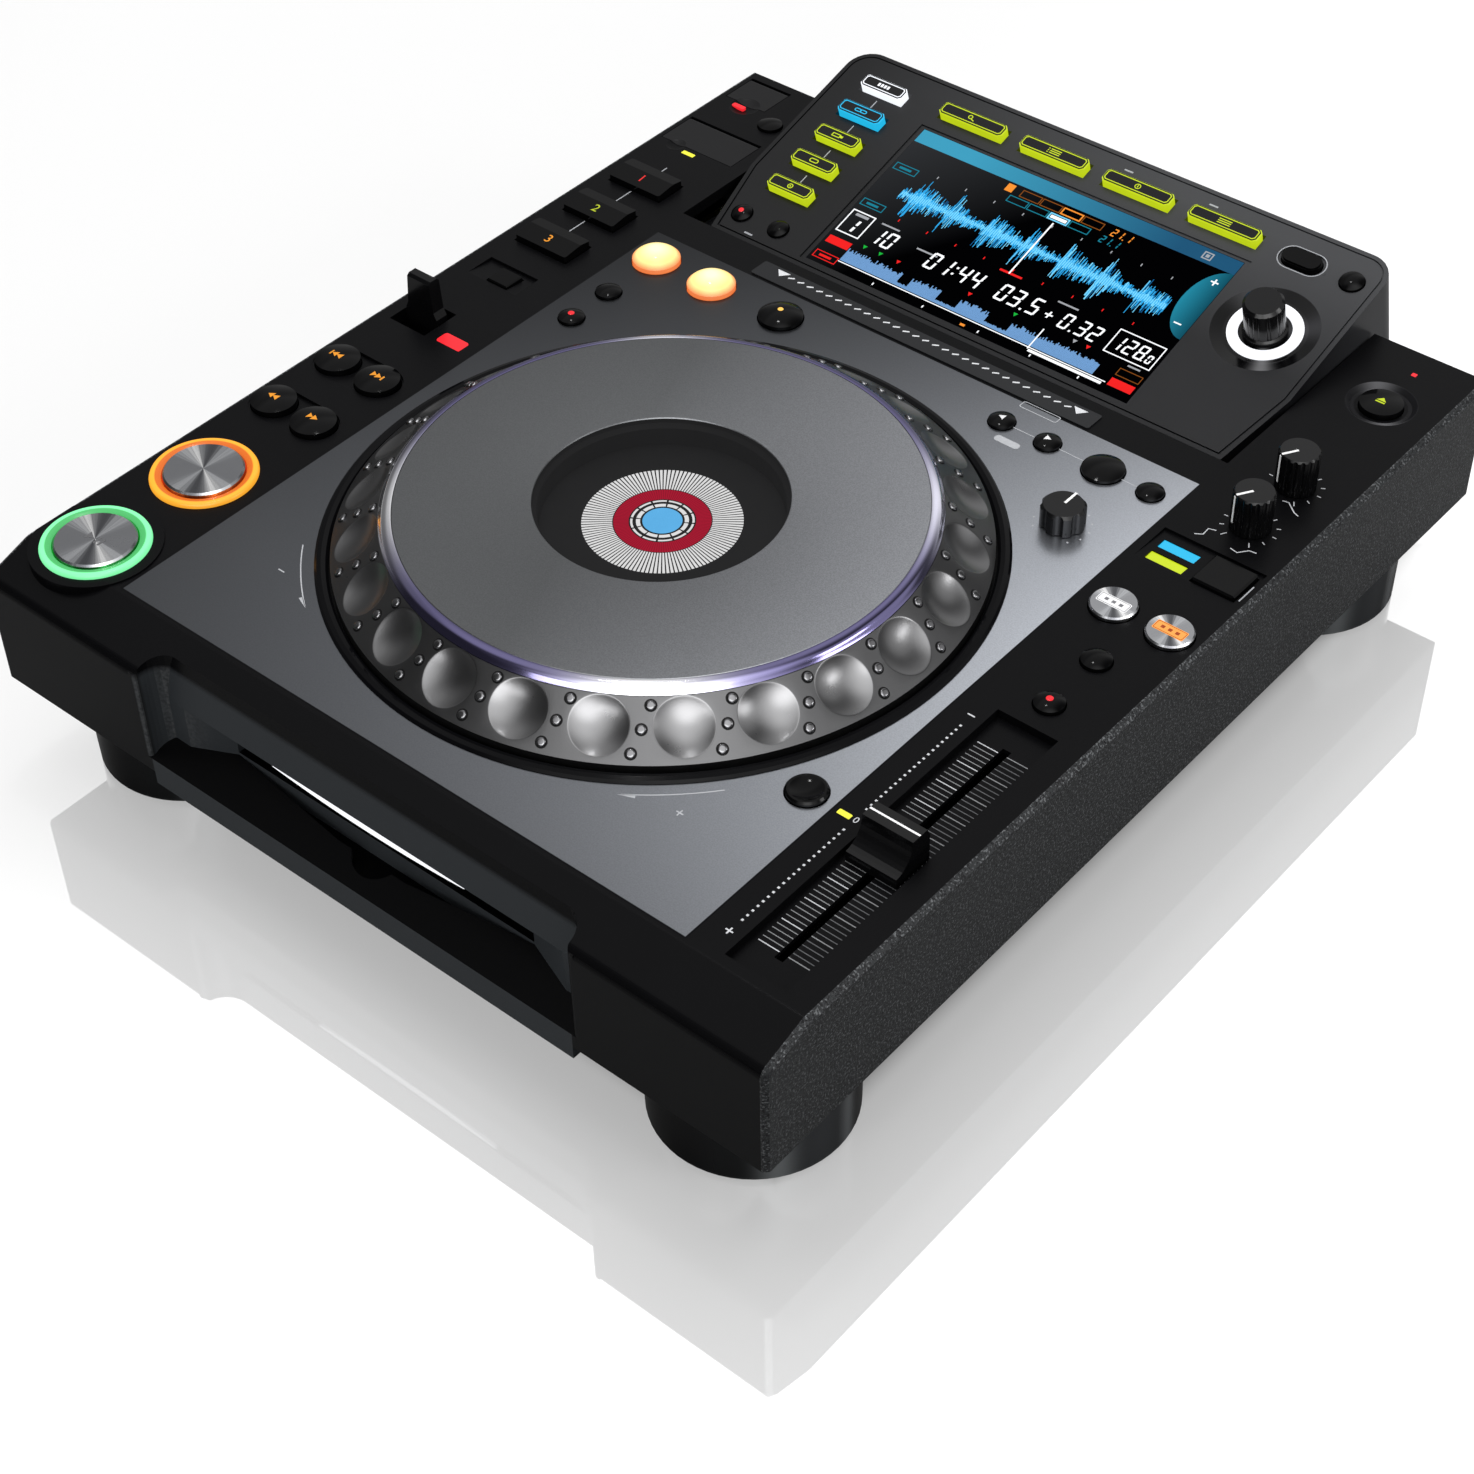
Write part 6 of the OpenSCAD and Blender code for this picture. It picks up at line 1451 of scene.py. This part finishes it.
class PLAYER_OT_display(bpy.types.Operator):
    """Finishes the screen unit with its lit keys, and fills the screen."""

    bl_idname = "player.display"
    bl_label = "Display"

    def execute(self, context):
        colours = context.scene.player_colours
        self.housing()
        glass = Finish("dark glass", (0.0015, 0.0015, 0.002), rough=0.06, level=0.06, rough_spread=0.01)
        dress("screen", glass.material)
        self.keys(colours)
        self.prints()
        self.picture()
        return {"FINISHED"}

    def housing(self):
        """Grained black with a painted sheen that pales it towards the rear right, and a glossy dish around the
        selector with painted highlights.
        """
        housing = Finish("display housing", (0.0095, 0.0097, 0.0110), rough=0.30, level=0.22, tint=0.08)
        # Painted sheen: the colour pales towards the rear and the right
        near, far = (on_panel(0, v).translation.y * MM for v in (40, 92))
        back = housing.range(housing.axis("Y"), 0, 1, near, far)
        side = housing.range(housing.axis("X"), 0, 1, -0.11, 0.03)
        tone = housing.mix(side, (0.0045, 0.0046, 0.0052), (0.0078, 0.0080, 0.0092))
        tone = housing.mix(housing.math("MULTIPLY", back, side), tone, (0.042, 0.043, 0.046))
        away, angle = housing.around(SEAT["rotary_selector"], PANEL_UP)
        # Painted highlights: fans of light laid into the dish's colour by angle around the selector
        dish_painted_glints = housing.glints(angle, (0.0012, 0.0012, 0.0015), (
            (-62, 60, (0.14, 0.14, 0.145)), (140, 16, (0.022, 0.022, 0.024)), (32, 20, (0.030, 0.030, 0.033)),
        ))
        dish = housing.range(away, 1, 0, 0.0184, 0.0187)
        housing.to(housing.mix(dish, tone, dish_painted_glints), "Base Color")
        housing.to(housing.blend(dish, housing.rough, 0.12), "Roughness")
        housing.grain(2600, 0.16, 0.00004)
        dress("display_housing", housing.material)

    def keys(self, colours):
        glow = {
            "white": lit("key white", (0.92, 0.95, 1.0), 1.0),
            "cyan": lit("key cyan", tuple(colours.cyan), 1.1),
            "lime": lit("key lime", tuple(colours.lime), 1.0),
        }
        black = Finish("key face", (0.004, 0.004, 0.0045), rough=0.2, level=0.2)
        hues = ("white", "cyan", "lime", "lime", "lime")
        rows = [("source_button_%d" % (i + 1), 19.3, hue) for i, hue in enumerate(hues)]
        rows += [("menu_button_%d" % (i + 1), 28.4, "lime") for i in range(4)]
        for number, (node, width, hue) in enumerate(rows):
            dress(node, glow[hue].material)
            cap = Form()
            place = over_panel(node, 2.8)
            cap.prism(cut_rect(width - 0.9, 5.4, 1.1), -0.1, 0.22, 0, place)
            cap.band(cut_rect(width - 1.7, 4.6, 0.85), cut_rect(width - 2.4, 3.9, 0.7), 0.2, 0.30, 1, place)
            self.sign(cap, number, place)
            finish_piece(node + "_face", cap, [black.material, glow[hue].material], node)

    def sign(self, form, number, place):
        """A plain sign for each lit key: dots, links, outlines, bars."""
        low, high, line = 0.2, 0.30, 0.36
        if number == 0:
            for x in (-2.1, -0.7, 0.7, 2.1):
                form.prism(rect(0.9, 1.5, x), low, high, 1, place)
        elif number == 1:
            for x in (-1.2, 1.2):
                outer, inner = round_rect(3.0, 1.6, 0.75, 4, x), round_rect(2.3, 0.9, 0.4, 4, x)
                form.band(outer, inner, low, high, 1, place)
        elif number == 2:
            form.band(rect(3.6, 1.7, -0.6), rect(2.9, 1.0, -0.6), low, high, 1, place)
            form.prism(rect(1.2, 1.0, 1.8), low, high, 1, place)
        elif number == 3:
            form.band(cut_rect(3.8, 1.9, 0.5), cut_rect(3.1, 1.2, 0.35), low, high, 1, place)
        elif number == 4:
            form.band(circle(1.15, 20), circle(0.8, 20), low, high, 1, place)
            form.prism(circle(0.32, 12), low, high, 1, place)
        elif number == 5:
            form.band(circle(0.95, 20, -1.2, 0.2), circle(0.62, 20, -1.2, 0.2), low, high, 1, place)
            form.stroke([(-0.5, -0.5), (0.9, -1.1)], line, low, high, 1, place)
        elif number == 6:
            for y in (-0.9, 0, 0.9):
                form.prism(rect(4.4, line, 0.6, y), low, high, 1, place)
                form.prism(rect(0.5, line, -2.4, y), low, high, 1, place)
        elif number == 7:
            form.band(circle(1.2, 20), circle(0.9, 20), low, high, 1, place)
            form.prism(rect(0.34, 0.8, 0, -0.15), low, high, 1, place)
            form.prism(rect(0.34, 0.3, 0, 0.55), low, high, 1, place)
        else:
            for y in (-0.9, 0, 0.9):
                form.prism(rect(5.2, line, 0, y), low, high, 1, place)

    def prints(self):
        """Printed lines on the screen unit's panel, and the lamp of its quantize button."""
        grey = ink("panel print", (0.33, 0.34, 0.36))
        lines = Form()
        places = [(SEAT["source_button_%d" % (i + 1)] - PANEL_ZERO) for i in range(5)]
        for a, b in zip(places, places[1:]):
            v = (a.dot(PANEL_V) + b.dot(PANEL_V)) / 2
            lines.prism(rect(0.4, 4.0), -SINK, 0.05, 0, on_panel(a.x, v))
        for u, v in ((9.6, 93.6), (45.2, 93.6), (-94.6, 3.6)):
            lines.prism(rect(3.6, 0.7), -SINK, 0.05, 0, on_panel(u, v))
        outer, inner = round_rect(18.4, 10.6, 5.2), round_rect(17.6, 9.8, 4.8)
        lines.band(outer, inner, -SINK, 0.05, 0, on_panel(85.7, 86.2))
        finish_piece("panel_lines", lines, [grey.material], "body")
        red = lit("quantize lamp", (0.85, 0.02, 0.03), 0.9)
        lamp_dome("quantize_lamp", "quantize_button", over_panel("quantize_button", 2.0), red)

    def picture(self):
        """What the screen shows: bars of sound, counters and marks, all as thin lit plates."""
        def tone(name, colour, strength=1.0, edge=None):
            return lit("screen " + name, colour, strength, edge, level=0.0)

        def title(f, colour):
            right = f.range(f.axis("X"), 0, 1, -0.045, 0.045)
            return f.mix(right, (0.042, 0.27, 0.38), (0.004, 0.008, 0.030))

        def painted_glass_reflection(f, colour):
            """A painted reflection: the pale haze that lies on the glass's left end."""
            slope = f.math("SUBTRACT", f.math("MULTIPLY", f.axis("Y"), 0.9), f.axis("X"))
            return f.mix(f.range(slope, 0, 1, 0.140, 0.215), colour, (0.050, 0.053, 0.058))

        def gauge(f, colour):
            return f.mix(f.range(f.axis("X"), 0, 1, 0.058, 0.069), (0.015, 0.22, 0.32), (0.002, 0.03, 0.05))

        tones = {
            "black": tone("black", (0.0006, 0.0006, 0.0009), 0.6, painted_glass_reflection),
            "title": tone("title", (0.03, 0.22, 0.42), 1.0, title),
            "gauge": tone("gauge", (0.01, 0.12, 0.18), 1.0, gauge),
            "deep": tone("deep blue", (0.008, 0.10, 0.26)),
            "blue": tone("blue", (0.025, 0.32, 0.66)), "pale": tone("pale blue", (0.16, 0.56, 0.82)),
            "steel": tone("steel blue", (0.13, 0.27, 0.50)), "teal": tone("teal", (0.01, 0.17, 0.24)),
            "white": tone("white", (0.86, 0.88, 0.90)), "red": tone("red", (0.72, 0.015, 0.015)),
            "orange": tone("orange", (0.75, 0.24, 0.03)), "brown": tone("brown", (0.20, 0.06, 0.01)),
            "green": tone("green", (0.01, 0.38, 0.04)), "grey": tone("grey", (0.30, 0.31, 0.33)),
        }
        index = {name: i for i, name in enumerate(tones)}
        base = -0.5
        form = Form()

        def plate(u0, v0, u1, v1, hue, lift=0.03):
            corners = [(u0, v0), (u1, v0), (u1, v1), (u0, v1)]
            form.prism(corners, -0.01, lift, index[hue], on_panel(0, 0, base))

        def frame_of(u0, v0, u1, v1, line, hue, lift=0.04):
            outer = rect(u1 - u0, v1 - v0, (u0 + u1) / 2, (v0 + v1) / 2)
            inner = rect(u1 - u0 - 2 * line, v1 - v0 - 2 * line, (u0 + u1) / 2, (v0 + v1) / 2)
            form.band(outer, inner, -0.01, lift, index[hue], on_panel(0, 0, base))

        def figures(words, height, u, v, hue, thick=0.11):
            form.digits(words, height, 0.05, index[hue], on_panel(u, v, base), thick)

        def chance(i):
            """A fixed number between 0 and 1 that looks like a draw."""
            return (math.sin(i * 12.9898 + 4.1) * 43758.5453) % 1.0

        plate(-68.9, 5.0, 68.9, 76.6, "black", 0.01)
        plate(-68.8, 70.1, 68.8, 76.5, "title", 0.02)
        # Two bars of four steps, the third one lit
        for v0, v1, dim, bright, shift in (
            (65.4, 68.9, "brown", "orange", 0.0), (61.5, 64.7, "teal", "pale", -3.0),
        ):
            for k in range(4):
                u0 = -18.6 + shift + 8.9 * k
                if k == 2:
                    frame_of(u0, v0, u0 + 8.5, v1, 0.55, bright, 0.05)
                    if shift:
                        plate(u0 + 0.9, v0 + 0.9, u0 + 7.6, v1 - 0.9, "white", 0.05)
                else:
                    frame_of(u0, v0, u0 + 8.5, v1, 0.35, dim)
        figures("21.1", 3.6, 20.5, 65.2, "orange", 0.13)
        figures("21.1", 3.4, 18.5, 60.9, "teal", 0.13)
        plate(-25.2, 65.6, -22.0, 69.2, "orange")
        # The running wave, one column at a time, louder on each beat
        columns = 400
        for i in range(columns):
            u = -57.4 + 114.0 * i / columns
            beat = 0.25 + 0.75 * math.exp(-(((i + 40) % 57) / 20.0))
            swell = 0.60 + 0.40 * math.sin(i * 0.026 + 0.4) ** 2
            high = min(15.0 * beat * swell * (0.22 + 0.78 * chance(i) ** 1.2), 10.6)
            low = min(15.0 * beat * swell * (0.22 + 0.78 * chance(i + 911) ** 1.2), 10.6)
            wide = 114.0 / columns * 0.94
            hue = "pale" if chance(i * 7 + 3) > 0.72 else ("deep" if chance(i * 5 + 1) > 0.80 else "blue")
            plate(u, 47.0 - max(low, 0.5), u + wide, 47.0 + max(high, 0.5), hue, 0.02)
            plate(u, 47.0 - low * 0.35, u + wide, 47.0 + high * 0.35, "pale" if i % 3 else "blue", 0.04)
        plate(-0.3, 33.6, 0.3, 60.6, "white", 0.06)
        for i in range(9):
            plate(-50.0 + 12.6 * i, 58.4, -49.6 + 12.6 * i, 59.6, "grey", 0.05)
            plate(-50.0 + 12.6 * i, 34.8, -49.6 + 12.6 * i, 36.0, "red", 0.05)
        # Zoom gauge at the right edge
        turns = [math.radians(a) for a in range(-90, 91, 9)]
        bow = [(68.8 - 10.2 * math.cos(a), 53.6 + 16.6 * math.sin(a)) for a in turns]
        form.prism(bow[::-1], -0.01, 0.03, index["gauge"], on_panel(0, 0, base))
        plate(63.4, 63.9, 66.4, 64.5, "white", 0.06)
        plate(64.6, 62.7, 65.2, 65.7, "white", 0.055)
        plate(62.6, 42.4, 65.6, 43.0, "white", 0.06)
        frame_of(54.2, 71.6, 58.0, 75.0, 0.5, "grey", 0.05)
        plate(55.4, 72.6, 56.8, 74.0, "grey", 0.05)
        # Tags at the left edge
        for v0, hue in ((55.2, "teal"), (35.2, "teal"), (6.9, "red")):
            frame_of(-67.8, v0, -57.8, v0 + 3.5, 0.35, hue)
            plate(-65.6, v0 + 1.2, -60.4, v0 + 2.2, hue)
        plate(-67.8, 14.7, -57.8, 18.2, "red")
        frame_of(-67.9, 20.9, -57.6, 32.4, 0.5, "white", 0.05)
        figures("1", 6.6, -65.4, 22.2, "white", 0.15)
        plate(-65.6, 30.0, -60.0, 31.2, "grey", 0.05)
        # Counters
        figures("10", 7.6, -54.6, 21.9, "white")
        figures("01:44", 7.8, -29.6, 21.6, "white")
        figures("03.5", 7.8, 1.2, 21.6, "white")
        figures("+", 6.0, 21.5, 22.0, "white")
        figures("0.32", 7.0, 28.2, 21.6, "white")
        frame_of(48.6, 20.4, 67.6, 31.6, 0.45, "white", 0.05)
        figures("128", 6.6, 49.4, 22.6, "white")
        figures(".0", 3.9, 62.2, 22.6, "white", 0.15)
        for u, v, w in ((-54.4, 31.0, 8.0), (-36.0, 27.4, 9.0), (22.6, 31.0, 8.6), (60.0, 18.6, 5.0)):
            plate(u, v, u + w, v + 0.7, "grey", 0.03)
        for u, hue in (
            (-53, "green"), (-46, "green"), (-38, "red"), (-6.5, "red"), (13, "green"), (38, "grey"),
            (43.5, "red"),
        ):
            form.prism([(-0.9, 1.6), (0, 0), (0.9, 1.6)], -0.01, 0.06, index[hue], on_panel(u, 18.2, base))
        plate(-4.0, 33.4, 5.4, 34.3, "red", 0.05)
        # The whole track in small
        for i in range(218):
            u = -57.4 + 0.5 * i
            loud = 1.6 if -33.2 < u < -28.6 or -16.2 < u < -7.6 or 5.0 < u < 14.2 else 5.9
            high = loud * (0.72 + 0.34 * chance(i * 3 + 7))
            plate(u, 9.9, u + 0.47, 9.9 + high, "steel", 0.03)
        plate(-57.6, 9.1, 57.4, 9.5, "white", 0.04)
        plate(25.4, 8.6, 25.9, 18.6, "white", 0.06)
        plate(26.2, 7.6, 56.4, 8.7, "white", 0.05)
        for u in (-40, -18, 6, 28, 48):
            plate(u, 5.9, u + 0.5, 7.0, "white", 0.05)
        plate(-1.4, 5.9, 0.6, 6.9, "orange", 0.05)
        plate(58.4, 8.7, 67.8, 12.2, "red")
        frame_of(58.4, 13.6, 67.8, 17.0, 0.3, "brown")
        finish_piece("screen_picture", form, [m.material for m in tones.values()], "body")


class PLAYER_OT_fasteners(bpy.types.Operator):
    """Adds the screws of the pan and the rear panel."""

    bl_idname = "player.fasteners"
    bl_label = "Screws"

    def execute(self, context):
        steel = Finish("black screw", (0.06, 0.06, 0.065), rough=0.3, metal=1.0)
        heads = Form()
        under = Matrix.Rotation(math.pi, 4, "X")
        for x in (-148, 148):
            for d in (100, 190, 280):
                self.head(heads, Matrix.Translation((x, behind(d), BASE)) @ under)
        back = Matrix.Rotation(-math.pi / 2, 4, "X")
        for x in (-150, -60, 20, 112):
            self.head(heads, Matrix.Translation((x, REAR, BASE + 5.5 if x > -150 else BASE + 30)) @ back)
        finish_piece("case_screws", heads, [steel.material], "body")
        return {"FINISHED"}

    def head(self, form, place):
        """A pan head."""
        form.lathe([(0, -0.6), (2.7, -0.6), (2.7, 0.1), (2.4, 0.6), (1.7, 0.95), (0, 1.05)], 24, 0, place)


class PLAYER_PT_panel(bpy.types.Panel):
    """Lists the steps that dress the player."""

    bl_label = "Disc player"
    bl_idname = "PLAYER_PT_panel"
    bl_space_type = "VIEW_3D"
    bl_region_type = "UI"
    bl_category = "Disc player"

    def draw(self, context):
        for group in (context.scene.player_sizes, context.scene.player_colours):
            for key in group.__annotations__:
                self.layout.prop(group, key)
        for step in STEPS:
            self.layout.operator(step.bl_idname)


STEPS = (
    PLAYER_OT_stage, PLAYER_OT_case, PLAYER_OT_centre_panel, PLAYER_OT_jog_wheel, PLAYER_OT_lights,
    PLAYER_OT_deck_controls, PLAYER_OT_knobs, PLAYER_OT_tempo, PLAYER_OT_display, PLAYER_OT_fasteners,
)
CLASSES = (PlayerSizes, PlayerColours, *STEPS, PLAYER_PT_panel)


def register():
    for kind in CLASSES:
        bpy.utils.register_class(kind)
    bpy.types.Scene.player_sizes = bpy.props.PointerProperty(type=PlayerSizes)
    bpy.types.Scene.player_colours = bpy.props.PointerProperty(type=PlayerColours)


def unregister():
    del bpy.types.Scene.player_sizes
    del bpy.types.Scene.player_colours
    for kind in reversed(CLASSES):
        bpy.utils.unregister_class(kind)


def main():
    register()
    for step in STEPS:
        group, name = step.bl_idname.split(".")
        result = getattr(getattr(bpy.ops, group), name)()
        if result != {"FINISHED"}:
            raise RuntimeError(step.bl_label + " did not finish")
    bpy.context.view_layer.update()
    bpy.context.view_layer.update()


if __name__ == "__main__":
    main()
